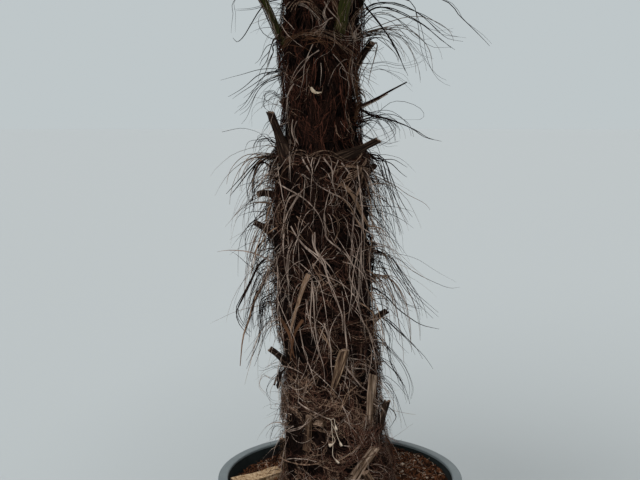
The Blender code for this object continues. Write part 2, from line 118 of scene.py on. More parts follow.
# Short fibres on the soil: how many of each colour, the ring they start in, their reach, steps, curl
# and length, how high they lie and arch, and their widths and taper
SOIL_FIBRES = {"red": 1500, "dark": 700, "tan": 320}
SOIL_FIBRE_RING = (0.120, 0.240)
SOIL_FIBRE_REACH = 0.246
SOIL_FIBRE_STEPS = 6
SOIL_FIBRE_CURL = 1.6
SOIL_FIBRE_LENGTHS = (0.008, 0.034)
SOIL_FIBRE_LIFTS, SOIL_FIBRE_ARCH = (0.002, 0.006), 0.004
SOIL_FIBRE_WIDTHS, SOIL_FIBRE_END = (0.0006, 0.0013), 0.5

# Slab of split bark: its place and turn, how ragged its long edges are, how much narrower one end is,
# and the roughness of its faces
SLAB_SIZE = (0.126, 0.044, 0.016)
SLAB_PLACE = (-0.1853, 0.0155, SOIL_LEVEL + 0.0091)
SLAB_TURN = 40
SLAB_TILT = 3
SLAB_JAG, SLAB_JAG_FROM = 0.04, 0.4
SLAB_TAPER = 0.25
SLAB_WAVES = 24
SLAB_WAVE_RANGES = ((30, 90), (120, 600), (0, 6), (0.5, 1))
SLAB_ROUGHNESS = 0.00028
SLAB_SHRINK = 0.0006

# Trunk: height, radius of the fibre-clad trunk, sideways place of its middle
TRUNK_FOOT = SOIL_LEVEL + 0.0003
TRUNK_STATIONS = (
    (TRUNK_FOOT, 0.127, -0.004),
    (0.47, 0.121, -0.007),
    (0.53, 0.117, -0.012),
    (0.60, 0.110, -0.017),
    (0.69, 0.106, -0.023),
    (0.77, 0.107, -0.027),
    (0.85, 0.112, -0.032),
    (0.93, 0.115, -0.041),
    (1.02, 0.112, -0.046),
    (1.10, 0.107, -0.043),
    (1.16, 0.105, -0.041),
    (1.20, 0.087, -0.043),
    (1.27, 0.082, -0.045),
    (1.35, 0.081, -0.046),
    (1.415, 0.091, -0.041),
    (1.47, 0.085, -0.040),
    (1.54, 0.076, -0.040),
    (1.61, 0.062, -0.039),
    (1.67, 0.044, -0.038),
    (1.70, 0.024, -0.038),
)
TRUNK_TOP = TRUNK_STATIONS[-1][0]
TRUNK_TABLE_ROWS = 500
MEAN_RADIUS = 0.10
# How often a strand that lies on the trunk swings to and fro
SWINGS = (0.5, 1.6)
# Strands stay this far above the soil
SOIL_CLEARANCE = 0.002
# The trunk's relief: where it ends, how far it takes to fade out above and below, and its waves, each
# with its height, how many go round, its slope and its phase
RELIEF_TOP = 1.62
RELIEF_FADE = (0.15, 0.05)
RELIEF_WAVES = ((0.0035, 3, 21, 0), (0.0025, 5, -34, 1))

# The trunk's core: its mesh, how deep it lies under the trunk's surface, the old sheaths' plates on
# it, and the fine ridges that run over it
CORE_COLUMNS, CORE_ROWS = 144, 240
CORE_DEPTH = 0.017
CORE_TOP_DEPTH = 0.004
PLATE_LENGTH = 0.13
PLATE_HALF_WIDTH = 0.62
PLATE_BULGE = 0.0085
PLATE_SPACING = 0.017
PLATE_START = 0.05
PLATE_FOOT_SHARE, PLATE_NARROWING = 1.05, 0.55
RIDGE_COUNT = 26
RIDGE_HEIGHT = 0.00055
RIDGES_ROUND, RIDGE_SLOPES = (18, 70), (-90, 90)

# Cut leaf bases: height, bearing, length, lean out from the trunk, tilt to the right as seen from
# outside, width at the foot and width at the cut
SHOWN_BASES = (
    (0.462, 280, 0.105, 6, 34, 0.028, 0.020),
    (0.440, 314, 0.074, 6, -38, 0.024, 0.015),
    (0.441, 192, 0.098, 5, 2, 0.026, 0.012),
    (0.535, 235, 0.084, 9, 11, 0.018, 0.015),
    (0.598, 257, 0.034, 70, 0, 0.024, 0.024),
    (0.543, 329, 0.092, 8, 17, 0.026, 0.018),
    (0.580, 318, 0.122, 6, -2, 0.013, 0.024),
    (0.666, 271, 0.102, 8, 15, 0.010, 0.020),
    (0.700, 184, 0.056, 44, 0, 0.024, 0.015),
    (0.795, 356, 0.045, 48, 0, 0.018, 0.014),
    (0.993, 186, 0.048, 52, 0, 0.022, 0.012),
    (1.080, 184, 0.036, 84, 0, 0.014, 0.012),
    (1.120, 345, 0.036, 40, 8, 0.024, 0.016),
    (1.160, 287, 0.098, 14, 62, 0.036, 0.014),
    (1.158, 222, 0.112, 8, -21, 0.050, 0.018),
    (1.345, 352, 0.075, 33, -2, 0.036, 0.020),
)
# More at the back, by a rule: how many, the lowest one's height and the step to the next, where their
# sector starts and how wide it is, and the ranges of the five values that follow the bearing
HIDDEN_BASE_COUNT = 8
HIDDEN_BASE_FOOT = 0.50
HIDDEN_BASE_STEP = 0.105
HIDDEN_BASE_BEARING, HIDDEN_BASE_SECTOR = 60, 90
HIDDEN_BASE_RANGES = ((0.07, 0.10), (16, 42), (-14, 14), (0.034, 0.048), (0.020, 0.026))
DARK_BASES = (6, 9, 10, 11, 12, 13, 14, 15, 16, 18, 21, 23)
PALE_BASES = (1, 7)
BASE_ROOT = 0.006
BASE_STEPS = 4
BASE_HALF_THICKNESS = 0.0068
# The shares of its lean that a base has at its foot and that it bends by; how much thinner it gets,
# and how fast its width goes over to that of the cut
BASE_LEAN, BASE_BEND = 0.7, 0.6
BASE_THINNING = 0.15
BASE_NARROWING = 1.6
# The stubs' meshes, the ribs round them as waves and their heights, and the hollow of the cut
BASE_SIDES, BASE_RINGS = 28, 15
BASE_RIBS = ((5, 0.07), (9, 0.07), (13, 0.05))
BASE_ROUGHNESS = 0.02
BASE_DISH, BASE_DISH_DEPTH = 0.0035, 0.0015
CUT_SLANT = 0.006
CUT_ROUGHNESS = 0.0011
CUT_RIM_SHARE = 0.55
CUT_RING_DEPTH, CUT_MIDDLE_DEPTH = 0.0015, 0.003
# The grain runs round a stub or stalk as if its radius were this
GRAIN_RADIUS = 0.012

# Tufts of loose fibre: height, bearing, reach from the trunk, drop
TUFTS = (
    (1.425, 14, 0.205, 0.150),
    (1.245, 358, 0.120, 0.070),
    (1.165, 177, 0.095, 0.130),
    (1.120, 12, 0.055, 0.150),
    (1.020, 170, 0.070, 0.230),
    (0.920, 190, 0.065, 0.170),
    (0.900, 352, 0.095, 0.190),
    (1.150, 262, 0.045, 0.230),
    (1.180, 96, 0.070, 0.200),
    (0.915, 97, 0.060, 0.220),
)
TUFT_STRANDS = 12
TUFT_STEPS = 12
TUFT_SPREAD = math.radians(46)
# A tuft's strands: how far each strays in bearing and height, how deep it starts, the share of the
# spread at its start, the shares of reach and drop that it has, its rise as a share of its reach,
# how far it waves aside, and its widths, taper and tip
TUFT_TURN, TUFT_SCATTER, TUFT_ROOT = 0.05, 0.008, 0.006
TUFT_START_SPREAD = 0.25
TUFT_REACHES, TUFT_DROPS, TUFT_RISE = (0.35, 1.0), (0.4, 1.0), 0.25
TUFT_WAVE = 0.012
TUFT_WIDTHS, TUFT_END, TUFT_TIP_OUT = (0.0012, 0.0025), 0.35, 0.35

# Coat of fibre: the share of its fibres that run down to the right, how far the fibres of a clump
# stray, and the ranges of widths and of places out from the trunk
RIGHTWARD_SHARE = 0.62
CLUMP_TURN, CLUMP_RISE = 0.014, 0.004
CLUMP_LEAN, CLUMP_CURL = 0.06, 0.2
THIN, HAIR, FINE, WIDE = (0.0009, 0.0013), (0.0010, 0.0015), (0.0012, 0.0019), (0.0018, 0.0034)
DEEP, INNER, MIDDLE, OUTER = (-0.014, -0.006), (-0.009, -0.002), (-0.004, 0.001), (0.000, 0.004)
# How the lean drifts round the trunk, as waves like the relief's; how high fibres arch off the trunk,
# how much they swing to and fro, how far a ribbon is turned aside and how thin it gets
LEAN_DRIFT = ((0.35, 3, 17, 0), (0.25, 5, -31, 0))
COAT_ARCH = 0.006
COAT_SWING = 0.35
RIBBON_TURN = 0.45
RIBBON_END = 0.35
# The coat's layers from the inside out, by finish. Each row has how many fibres, the heights between
# which they start, their lean from straight down and its spread, the ranges of length, width and
# place, how much they curl, their steps and how many lie in a clump
COAT = {
    # The innermost layer is near black: dark fibres deepened into painted shade where the mat's gaps are
    # deep
    "dark": (
        (2600, 0.43, 1.18, 0.9, 0.5, (0.05, 0.11), WIDE, DEEP, 1.0, 5, 1),
        (1600, 1.15, 1.64, 0.25, 0.4, (0.05, 0.11), WIDE, DEEP, 0.6, 5, 1),
    ),
    "umber": (
        (2700, 0.43, 0.80, 1.0, 0.5, (0.04, 0.10), FINE, INNER, 1.8, 7, 2),
        (2800, 0.75, 1.18, 0.7, 0.5, (0.04, 0.11), FINE, INNER, 1.4, 7, 2),
        (4000, 1.14, 1.66, 0.25, 0.35, (0.03, 0.09), HAIR, MIDDLE, 0.8, 6, 3),
        (1000, 0.43, 0.80, 1.0, 0.5, (0.03, 0.09), HAIR, OUTER, 2.0, 7, 1),
        (1100, 0.75, 1.18, 0.7, 0.5, (0.04, 0.10), HAIR, OUTER, 1.5, 7, 1),
        (1300, 1.14, 1.64, 0.25, 0.35, (0.03, 0.08), HAIR, OUTER, 0.8, 6, 2),
    ),
    "red": (
        (2100, 0.43, 0.66, 1.0, 0.5, (0.025, 0.08), THIN, MIDDLE, 2.6, 8, 1),
        (900, 0.62, 0.80, 1.0, 0.5, (0.03, 0.09), HAIR, MIDDLE, 2.2, 7, 1),
        (1500, 0.76, 1.20, 0.75, 0.5, (0.04, 0.11), THIN, MIDDLE, 1.7, 7, 2),
    ),
    "neck": (
        (2100, 1.16, 1.64, 0.3, 0.4, (0.03, 0.09), HAIR, MIDDLE, 1.0, 6, 3),
        (1000, 1.14, 1.64, 0.25, 0.35, (0.03, 0.08), HAIR, OUTER, 0.8, 6, 2),
    ),
    "brown": (
        (2100, 0.43, 0.66, 1.10, 0.5, (0.03, 0.09), THIN, OUTER, 2.8, 9, 1),
        (440, 0.64, 0.80, 1.00, 0.5, (0.04, 0.10), THIN, OUTER, 2.2, 8, 1),
        (640, 0.76, 1.17, 0.75, 0.6, (0.04, 0.11), THIN, OUTER, 2.0, 8, 1),
        (240, 1.17, 1.45, 0.4, 0.5, (0.03, 0.09), HAIR, OUTER, 1.4, 8, 2),
    ),
    "grey": (
        (230, 0.43, 0.64, 0.95, 0.45, (0.04, 0.12), THIN, OUTER, 1.8, 9, 1),
        (100, 0.62, 0.80, 0.80, 0.45, (0.05, 0.13), HAIR, OUTER, 1.5, 9, 1),
        (240, 0.76, 1.17, 0.60, 0.5, (0.06, 0.13), THIN, OUTER, 1.5, 9, 1),
        (90, 1.20, 1.47, 0.5, 0.5, (0.05, 0.10), HAIR, OUTER, 1.2, 9, 2),
        (40, 1.42, 1.60, 0.7, 0.6, (0.03, 0.08), HAIR, OUTER, 2.4, 9, 1),
    ),
}

# Frayed upper edges of sheaths, each with its middle bearing, height, half width in degrees and
# number of fibres, and the share of the fibres that each finish has
SKIRTS = (
    (20, 1.40, 40, 110),
    (130, 1.44, 40, 120),
    (205, 1.385, 30, 90),
    (268, 1.168, 60, 300),
    (30, 1.18, 50, 260),
    (140, 1.16, 55, 280),
    (330, 0.985, 45, 120),
    (215, 0.955, 45, 110),
    (95, 0.93, 50, 180),
    (20, 0.76, 45, 160),
    (150, 0.74, 50, 160),
)
SKIRT_SHARES = {"fibre_umber": 0.42, "fibre_red": 0.34, "fibre_brown": 0.17, "fibre_grey": 0.07}
SKIRT_STEPS = 8
# How far their fibres start from the edge's line, how far that line hangs in its middle, the share
# that turns right, the ranges of heading, curl, length, depth, arch and width, how much they swing,
# how thin they get and how far they are turned aside
SKIRT_SCATTER = 0.013
SKIRT_SAG = 0.02
SKIRT_RIGHTWARD = 0.65
SKIRT_HEADINGS, SKIRT_CURLS, SKIRT_SWING = (0.6, 2.2), (-0.6, 2.6), 0.4
SKIRT_LENGTHS, SKIRT_DEPTHS, SKIRT_ARCHES = (0.03, 0.10), (-0.004, 0.005), (0, 0.008)
SKIRT_WIDTHS, SKIRT_END, SKIRT_TURN = (0.0008, 0.0018), 0.3, 0.4

# Sectors of the trunk, in degrees: all round, all but the front, and the front
ALL_ROUND, ASIDE, IN_FRONT = (0, 360), (-48, 222), (222, 312)

# Strips and wisps that hang from the trunk. Each row has how many, the heights between which they
# start, the ranges of their rise, lean outward, length, width, weight and distance from the trunk,
# how much they curl, how far they run sideways, and the sector they start in
NEAR, OFF, LOOSE = (0.002, 0.008), (0.003, 0.009), (0.003, 0.006)
STRIPS = {
    "grey": (
        (170, 0.88, 1.19, (-0.6, 0.3), (0.2, 0.7), (0.08, 0.20), (0.0018, 0.0036), (1.2, 3.5), NEAR,
         1.4, 0.9, ASIDE),
        (90, 0.55, 0.86, (-0.6, 0.3), (0.2, 0.7), (0.05, 0.13), (0.0016, 0.0030), (1.0, 3.0), NEAR,
         1.8, 1.1, ASIDE),
        (60, 1.24, 1.58, (-0.3, 0.4), (0.2, 0.8), (0.05, 0.14), (0.0014, 0.0026), (1.0, 3.0), NEAR,
         1.4, 0.9, ASIDE),
        (44, 0.82, 1.17, (-0.8, 0.1), (0.2, 0.6), (0.06, 0.16), (0.0010, 0.0019), (1.5, 3.5), NEAR,
         1.2, 0.7, IN_FRONT),
    ),
    "tan": (
        (60, 0.80, 1.18, (-0.6, 0.3), (0.2, 0.7), (0.08, 0.20), (0.0022, 0.0046), (1.2, 3.5), OFF,
         1.1, 0.8, ASIDE),
        (24, 1.20, 1.50, (-0.3, 0.4), (0.2, 0.8), (0.05, 0.12), (0.0016, 0.0030), (1.0, 3.0), NEAR,
         1.2, 0.9, ASIDE),
    ),
}
WISPS = {
    "dark": (
        (190, 0.80, 1.20, (-0.6, 0.8), (0.6, 1.2), (0.05, 0.16), (0.0012, 0.0022), (0.8, 3.5), LOOSE,
         1.4, 0.45, ALL_ROUND),
        (160, 1.20, 1.56, (-0.5, 0.9), (0.6, 1.2), (0.03, 0.11), (0.0011, 0.0020), (0.5, 2.5), LOOSE,
         1.8, 0.45, ALL_ROUND),
        (200, 0.45, 0.76, (-0.6, 0.8), (0.5, 1.1), (0.02, 0.06), (0.0007, 0.0011), (0.5, 2.5), LOOSE,
         2.4, 0.45, ALL_ROUND),
    ),
    "grey": (
        (80, 0.80, 1.20, (-0.6, 0.7), (0.5, 1.1), (0.06, 0.15), (0.0010, 0.0018), (1.5, 4.0), LOOSE,
         1.4, 0.45, ALL_ROUND),
        (120, 0.45, 0.76, (-0.6, 0.8), (0.5, 1.1), (0.02, 0.08), (0.0007, 0.0012), (0.5, 2.5), LOOSE,
         2.2, 0.45, ALL_ROUND),
    ),
}
HANGING_STEPS = 9
HANGING_ROOT = 0.003
HANGING_JITTER = 0.05
HANGING_TIP_UP = 0.3
HANGING_END, HANGING_END_POWER = 0.18, 1.5

# Hollows between the front's fibres, where the core's painted shade shows through, in the
# photograph's pixels: middle across, middle down, half width, half height
HOLLOWS = (
    (293, 438, 8, 10), (320, 437, 6, 9), (342, 446, 6, 7), (351, 437, 4, 5), (297, 450, 8, 5),
    (330, 452, 5, 6), (316, 470, 10, 5), (350, 470, 5, 4), (377, 418, 3, 14), (296, 400, 6, 4),
    (312, 345, 6, 14), (336, 360, 4, 10), (300, 352, 5, 9), (352, 352, 5, 8), (285, 352, 4, 12),
    (372, 345, 4, 12), (320, 382, 7, 4), (360, 400, 4, 6), (347, 392, 4, 4),
    (300, 322, 4, 8), (325, 312, 5, 9), (352, 322, 4, 9), (368, 300, 4, 10), (284, 300, 4, 9),
    (330, 268, 6, 8), (303, 262, 5, 8), (345, 244, 7, 8), (309, 247, 5, 5), (333, 222, 4, 8),
    (300, 206, 6, 7), (350, 208, 5, 7), (322, 200, 5, 6), (286, 184, 8, 5), (318, 168, 7, 5),
    (276, 240, 5, 10), (366, 232, 4, 10), (305, 168, 6, 5), (334, 148, 16, 5), (305, 149, 12, 5),
    (285, 130, 4, 12), (305, 112, 4, 8), (338, 112, 5, 9), (321, 72, 5, 15), (300, 70, 5, 8),
    (342, 62, 7, 6), (312, 52, 16, 6), (292, 62, 7, 7), (330, 128, 4, 6), (316, 100, 4, 5),
    (300, 20, 5, 8), (322, 14, 4, 8), (352, 12, 5, 9), (290, 10, 6, 9), (310, 27, 7, 5), (330, 27, 5, 6),
    (293, 172, 6, 6), (330, 168, 5, 6), (345, 178, 6, 5), (358, 184, 5, 5), (308, 190, 5, 5),
    (316, 212, 4, 7), (340, 232, 5, 5), (360, 214, 4, 7), (293, 222, 5, 7), (318, 232, 5, 5),
    (356, 262, 5, 8), (314, 280, 5, 8), (340, 288, 4, 8), (286, 272, 4, 8), (372, 268, 4, 8),
    (310, 304, 4, 6), (345, 306, 4, 7), (302, 338, 4, 6), (342, 336, 4, 6),
)
# The least by which a hollow is taken to face the camera, which limits its width at the trunk's sides
LEAST_FACING = 0.45
# More hollows at random: how many, and the ranges of bearing in degrees, height, half width round the
# trunk in radians and half height
RANDOM_HOLLOWS = 190
HOLLOW_RANGES = ((-40, 220), (0.45, 1.60), (0.07, 0.16), (0.009, 0.026))
# Where strands keep off the stubs: the shares of a stub's length, the trunk's radius there, the half
# width of each place in radians and its half height as a share of the stub's length; then the share
# of a strand that may lie in a hollow and over a stub
STUB_PLACES = (0.3, 0.6, 0.9)
STUB_RADIUS = 0.11
STUB_HALF_WIDTH = 0.13
STUB_HALF_HEIGHT = 0.16
HOLLOW_SHARE, STUB_SHARE = 0.22, 0.27

# Single things that the photograph shows on the trunk, as routes in its pixels
FLOWER_STALK = ((326, 418), (331, 420), (332, 430), (333, 444), (333, 456), (339, 463))
FLOWER_BRANCHES = (
    ((332, 424), (336, 432), (338, 438), (342, 446)),
    ((332, 434), (335, 440), (333, 444), (329, 446)),
    ((330, 420), (334, 419), (335, 424), (337, 430)),
)
FLOWER_OUT = 0.012
FLOWER_STEPS = 16
# Its half width at some distances from the lower end of it or of a branch
FLOWER_ENDS = (0, 0.002, 0.006, 0.012)
FLOWER_HALF_WIDTHS = (0.0030, 0.0048, 0.0030, 0.0008)
CURLED_CHIP = ((311, 87), (313, 91), (317, 93), (322, 92))
CURLED_CHIP_OUT = 0.010
CURLED_CHIP_STEPS = 14
CURLED_CHIP_HALF_WIDTH = 0.0036
SPIKE = ((358, 107), (372, 101), (388, 92), (407, 82))
SPIKE_STEPS = 16
SPIKE_HALF_WIDTHS = (0.0044, 0.0016)
SPIKE_EDGE_STEPS = 11
SPIKE_EDGE_HALF_WIDTHS = (0.0030, 0.0010)
SPIKE_EDGE_DROP = (0, 0.001, 0.0040)

# Strands that stand out in the photograph, by finish. Each row has the width in millimetres, how
# many like strands lie together, how far their ends spread in millimetres, and the route's places in
# the photograph's pixels, across and down in turn
SEEN_STRANDS = {
    "strip_grey": (
        (3.4, 1, 0, 278, 182, 297, 193, 310, 203, 320, 217, 327, 239),
        (3.8, 1, 0, 299, 194, 291, 198, 287, 210, 285, 226, 281, 238),
        (4, 1, 0, 301, 194, 297, 200, 291, 210, 287, 220, 283, 227),
        (3.6, 1, 0, 302, 157, 311, 172, 316, 183, 328, 191, 339, 197),
        (2.6, 1, 0, 307, 155, 312, 167, 314, 176, 320, 184),
        (2.4, 1, 0, 313, 157, 312, 167, 314, 175),
        (2.4, 1, 0, 321, 156, 317, 165, 314, 174),
        (3, 1, 0, 323, 157, 331, 169, 332, 181, 336, 196),
        (2.4, 1, 0, 329, 156, 331, 164, 332, 173),
        (2.4, 1, 0, 338, 160, 334, 168, 332, 178),
        (3, 2, 4, 341, 163, 349, 175, 354, 188, 357, 202),
        (2.8, 2, 4, 290, 140, 291, 160, 290, 180),
        (2.4, 1, 0, 296, 138, 294, 152, 291, 168),
        (3.8, 1, 0, 324, 213, 325, 230, 327, 239, 344, 253, 354, 271, 357, 284),
        (3, 2, 6, 292, 227, 304, 245, 315, 256, 327, 269, 336, 287),
        (4.4, 1, 0, 284, 234, 285, 250, 287, 265, 289, 279, 290, 295),
        (4, 1, 0, 293, 240, 289, 256, 289, 272, 292, 290),
        (3, 2, 5, 313, 234, 315, 248, 324, 262, 328, 276, 336, 293),
        (2.8, 2, 6, 312, 279, 314, 293, 315, 319, 319, 338),
        (2.8, 2, 4, 360, 247, 358, 272, 355, 294, 350, 312),
        (3.4, 1, 0, 333, 294, 338, 305, 342, 318, 344, 332, 346, 350, 346, 369, 343, 391),
        (2.6, 1, 0, 314, 298, 316, 329, 319, 348, 324, 366, 325, 383),
        (2.6, 1, 0, 306, 299, 310, 318, 316, 341, 320, 356),
        (2.8, 1, 0, 300, 327, 306, 353, 312, 369, 316, 386),
        (2.6, 1, 0, 324, 323, 330, 344, 331, 363, 333, 380),
        (3.4, 1, 0, 343, 364, 352, 376, 362, 388, 376, 397),
        (2.2, 1, 0, 342, 405, 347, 417, 352, 437),
        (2.6, 1, 0, 281, 364, 293, 367, 304, 374),
        (2.6, 1, 0, 299, 402, 315, 411, 331, 420),
        (2.2, 1, 0, 350, 455, 362, 440, 372, 424),
        (1.8, 2, 8, 288, 432, 302, 427, 312, 417, 323, 409),
        (2, 2, 4, 319, 50, 309, 57, 299, 68, 290, 82),
        (2.4, 1, 0, 313, 44, 306, 64, 304, 80, 300, 96),
        (1.8, 1, 0, 321, 63, 321, 76, 320, 88),
        (2, 1, 0, 333, 54, 341, 66, 346, 80, 348, 98),
        (2.4, 2, 6, 294, 84, 290, 96, 289, 110),
        (2.6, 2, 4, 293, 120, 294, 134, 297, 146),
        (2.2, 1, 0, 297, 121, 296, 132, 299, 145),
        (1.8, 2, 6, 352, 60, 350, 78, 353, 96, 357, 108),
        (2.4, 2, 6, 290, 2, 286, 12, 289, 22, 295, 30),
        (2.4, 2, 4, 324, 2, 330, 12, 337, 20, 341, 27),
        (2.2, 1, 0, 339, 0, 341, 9, 343, 16),
        (2, 2, 8, 333, 18, 322, 24, 311, 31),
        (2.4, 2, 6, 360, 24, 352, 32, 354, 40),
    ),
    "strip_tan": (
        (6, 1, 0, 341, 184, 350, 195, 358, 213, 367, 228),
        (4, 3, 6, 345, 187, 354, 200, 362, 216, 370, 232),
        (3.6, 2, 4, 338, 196, 348, 206, 356, 223, 366, 240),
        (11, 1, 0, 309, 274, 305, 285, 301, 299, 294, 324, 290, 340),
        (1.4, 2, 6, 357, 386, 347, 393, 343, 405, 338, 416),
        (3.4, 2, 6, 333, 352, 326, 340, 318, 330),
        (1.8, 1, 0, 338, 461, 350, 452, 360, 441, 366, 428),
    ),
    "rust": (
        (5.2, 1, 0, 385, 438, 390, 450, 394, 466, 395, 480),
        (2.6, 4, 8, 384, 434, 389, 448, 392, 464, 393, 482),
        (12, 1, 0, 280, 315, 288, 326, 293, 338, 295, 358),
        (9, 1, 0, 303, 320, 297, 332, 294, 346, 291, 362),
        (1.3, 8, 12, 282, 52, 288, 44, 296, 39, 306, 37, 318, 42),
        (1.3, 5, 16, 304, 40, 318, 40, 332, 48, 346, 64, 352, 78),
        (2.2, 10, 8, 354, 120, 356, 104, 354, 88, 357, 72, 364, 58, 374, 44),
        (2, 8, 10, 360, 92, 364, 100, 366, 108),
    ),
    "fibre_dark": (
        (3.6, 3, 12, 363, 18, 371, 10, 382, 7, 396, 10, 420, 23, 436, 37, 451, 48),
        (2.2, 3, 14, 363, 10, 376, 3, 396, 3, 417, 13, 433, 26, 443, 34, 459, 37),
        (2.2, 4, 20, 361, 27, 371, 18, 384, 16, 401, 21, 417, 34, 433, 47, 451, 49),
        (2.2, 2, 10, 365, 33, 381, 31, 397, 28, 412, 23),
        (3.6, 2, 10, 368, 10, 378, 21, 388, 36, 397, 52, 404, 67, 408, 76),
        (1.6, 2, 12, 407, 0, 415, 13, 420, 32, 422, 49, 427, 63, 436, 75, 446, 80),
        (2, 4, 14, 366, 36, 381, 32, 397, 36, 410, 45, 417, 54),
        (3.2, 6, 12, 362, 56, 368, 49, 378, 43),
        (2, 3, 12, 364, 46, 374, 38, 386, 40, 396, 50, 402, 60),
        (1.4, 3, 12, 368, 64, 384, 61, 401, 64, 417, 60, 425, 52),
        (1.2, 3, 12, 366, 71, 380, 68, 396, 73, 406, 80, 415, 86),
        (2.6, 1, 0, 440, -2, 461, 17, 480, 36, 490, 46),
        (1.6, 1, 0, 443, -2, 464, 20, 482, 34, 492, 44),
        (1.8, 1, 0, 376, 114, 388, 104, 401, 101, 417, 106, 424, 114, 419, 120, 394, 119),
        (3.6, 2, 6, 360, 109, 371, 114, 386, 117, 401, 124, 414, 131, 423, 136, 436, 139),
        (1.8, 4, 14, 362, 111, 376, 117, 390, 118, 396, 127, 385, 135, 370, 139),
        (2, 4, 10, 358, 126, 371, 121, 382, 121),
        (1.4, 3, 12, 376, 140, 388, 144, 398, 142),
        (1.6, 2, 6, 237, -2, 233, 16, 231, 33),
        (3.4, 1, 0, 271, -1, 260, 10, 251, 24, 243, 37, 237, 42, 233, 38),
        (2.2, 2, 6, 268, 3, 260, 7, 249, 10, 236, 11),
        (3, 5, 14, 280, 36, 272, 44, 266, 55, 260, 66),
        (3, 4, 12, 281, 71, 270, 73, 261, 78, 249, 88, 233, 99),
        (1.8, 5, 12, 280, 75, 267, 81, 254, 91, 243, 106, 235, 113),
        (1.6, 6, 12, 281, 98, 272, 93, 265, 96, 264, 105, 270, 112),
        (1.2, 1, 0, 266, 101, 258, 103, 252, 111, 252, 127),
        (1.4, 1, 0, 222, 132, 241, 128, 257, 132, 270, 140, 281, 147),
        (2.2, 7, 14, 281, 147, 267, 139, 257, 143, 254, 155),
        (4, 3, 8, 276, 158, 264, 160, 256, 169, 251, 182, 248, 192, 251, 204),
        (4, 2, 6, 276, 157, 262, 157, 251, 166, 238, 181, 226, 194),
        (3.8, 3, 10, 274, 170, 266, 163, 259, 164, 254, 174, 252, 187, 253, 204),
        (1.8, 4, 12, 271, 180, 261, 182, 255, 191, 253, 207, 255, 222),
        (1.8, 4, 12, 264, 216, 254, 223, 248, 230, 245, 243, 246, 257, 248, 269),
        (2.4, 6, 14, 270, 236, 261, 243, 256, 255, 258, 268, 264, 280),
        (4.2, 3, 8, 268, 258, 258, 266, 251, 279, 243, 296, 238, 309, 242, 321, 251, 332),
        (2.2, 5, 14, 270, 270, 262, 281, 256, 296, 253, 312, 254, 330),
        (3, 4, 12, 263, 300, 261, 318, 259, 340, 249, 362),
        (1.8, 6, 18, 270, 296, 264, 310, 268, 326, 277, 340),
        (1.4, 5, 18, 262, 305, 270, 318, 266, 334, 258, 350),
        (3.8, 2, 8, 368, 154, 379, 161, 393, 165, 407, 177),
        (3.2, 3, 12, 384, 158, 390, 178, 394, 194, 400, 210, 407, 225),
        (2, 4, 16, 377, 157, 384, 178, 390, 197, 394, 212, 398, 234),
        (2, 4, 20, 369, 196, 378, 213, 387, 229, 393, 243, 396, 254),
        (1.4, 4, 24, 369, 188, 381, 203, 390, 221, 396, 240, 398, 262),
        (1.4, 1, 0, 384, 252, 404, 255, 419, 260, 436, 271, 456, 282),
        (1.4, 1, 0, 396, 257, 414, 272, 436, 283, 450, 288, 460, 287),
        (3.2, 3, 12, 385, 254, 394, 269, 401, 279, 411, 292, 423, 303, 438, 316),
        (2.4, 4, 16, 379, 262, 391, 282, 397, 295, 406, 305, 421, 309),
        (2, 4, 16, 390, 256, 402, 273, 411, 288, 417, 304, 420, 320),
        (4.4, 1, 0, 372, 287, 386, 296, 397, 308, 410, 318, 422, 325, 439, 329),
        (3, 3, 12, 384, 319, 396, 329, 406, 337, 415, 346, 422, 359),
        (3, 3, 12, 377, 335, 387, 348, 390, 362, 397, 376, 405, 386),
        (1.6, 4, 16, 381, 318, 392, 336, 396, 352, 406, 366),
        (2.2, 3, 12, 381, 358, 396, 373, 403, 387, 406, 400),
        (1.6, 3, 12, 386, 345, 403, 365, 412, 388, 410, 401),
        (3, 1, 0, 390, 408, 396, 416, 393, 423, 390, 428),
        (1.4, 6, 20, 382, 380, 392, 392, 398, 406, 398, 418),
        (1.4, 1, 0, 284, 409, 275, 409, 270, 408, 272, 405),
        (1.2, 2, 12, 281, 372, 271, 380, 266, 392, 270, 402, 280, 404),
        (1.2, 2, 10, 276, 364, 264, 367, 258, 366),
        (8, 1, 0, 274, 385, 278, 375, 283, 366),
        (13, 1, 0, 278, 387, 282, 378, 286, 368),
        (1.2, 3, 12, 283, 424, 274, 428, 270, 440, 272, 448),
        (1.6, 12, 12, 284, 441, 278, 448, 271, 456, 264, 462),
        (1.4, 10, 12, 285, 446, 280, 453, 276, 460, 272, 465),
    ),
    "fibre_brown": (
        (4.8, 1, 0, 366, 45, 377, 43, 375, 56, 371, 70, 368, 85),
        (7.8, 1, 0, 270, 270, 261, 288, 254, 302, 249, 320, 243, 338, 240, 366),
        (3, 1, 0, 372, 175, 393, 184, 407, 194, 424, 203, 430, 210),
        (4.6, 2, 4, 362, 172, 357, 190, 352, 206),
        (3.4, 5, 12, 365, 158, 358, 170, 346, 178, 340, 190),
        (1.1, 3, 12, 284, 47, 294, 38, 306, 33, 320, 34, 336, 42, 350, 57),
        (1.2, 3, 10, 306, 35, 320, 32, 334, 37, 347, 48, 358, 62),
        (1.3, 4, 12, 312, 33, 328, 37, 342, 47, 352, 54, 357, 64),
        (1.3, 4, 14, 310, 158, 318, 152, 328, 152, 338, 158),
        (2.4, 3, 5, 280, 455, 290, 461, 305, 464, 318, 463, 327, 459),
        (1.3, 4, 14, 288, 160, 294, 152, 304, 150, 312, 156),
        (1.6, 6, 14, 292, 10, 300, 2, 312, 4, 318, 14, 328, 26),
        (1.6, 4, 10, 330, -4, 335, 8, 338, 18, 337, 32),
        (1.6, 3, 10, 352, -2, 348, 10, 344, 20, 345, 34),
        (1.6, 6, 14, 362, 6, 352, 16, 348, 28, 356, 40),
        (3.4, 1, 0, 338, 166, 350, 167, 364, 171, 380, 178, 396, 187),
        (2.4, 2, 6, 345, 165, 360, 168, 372, 174, 386, 181),
    ),
    "fibre_red": (
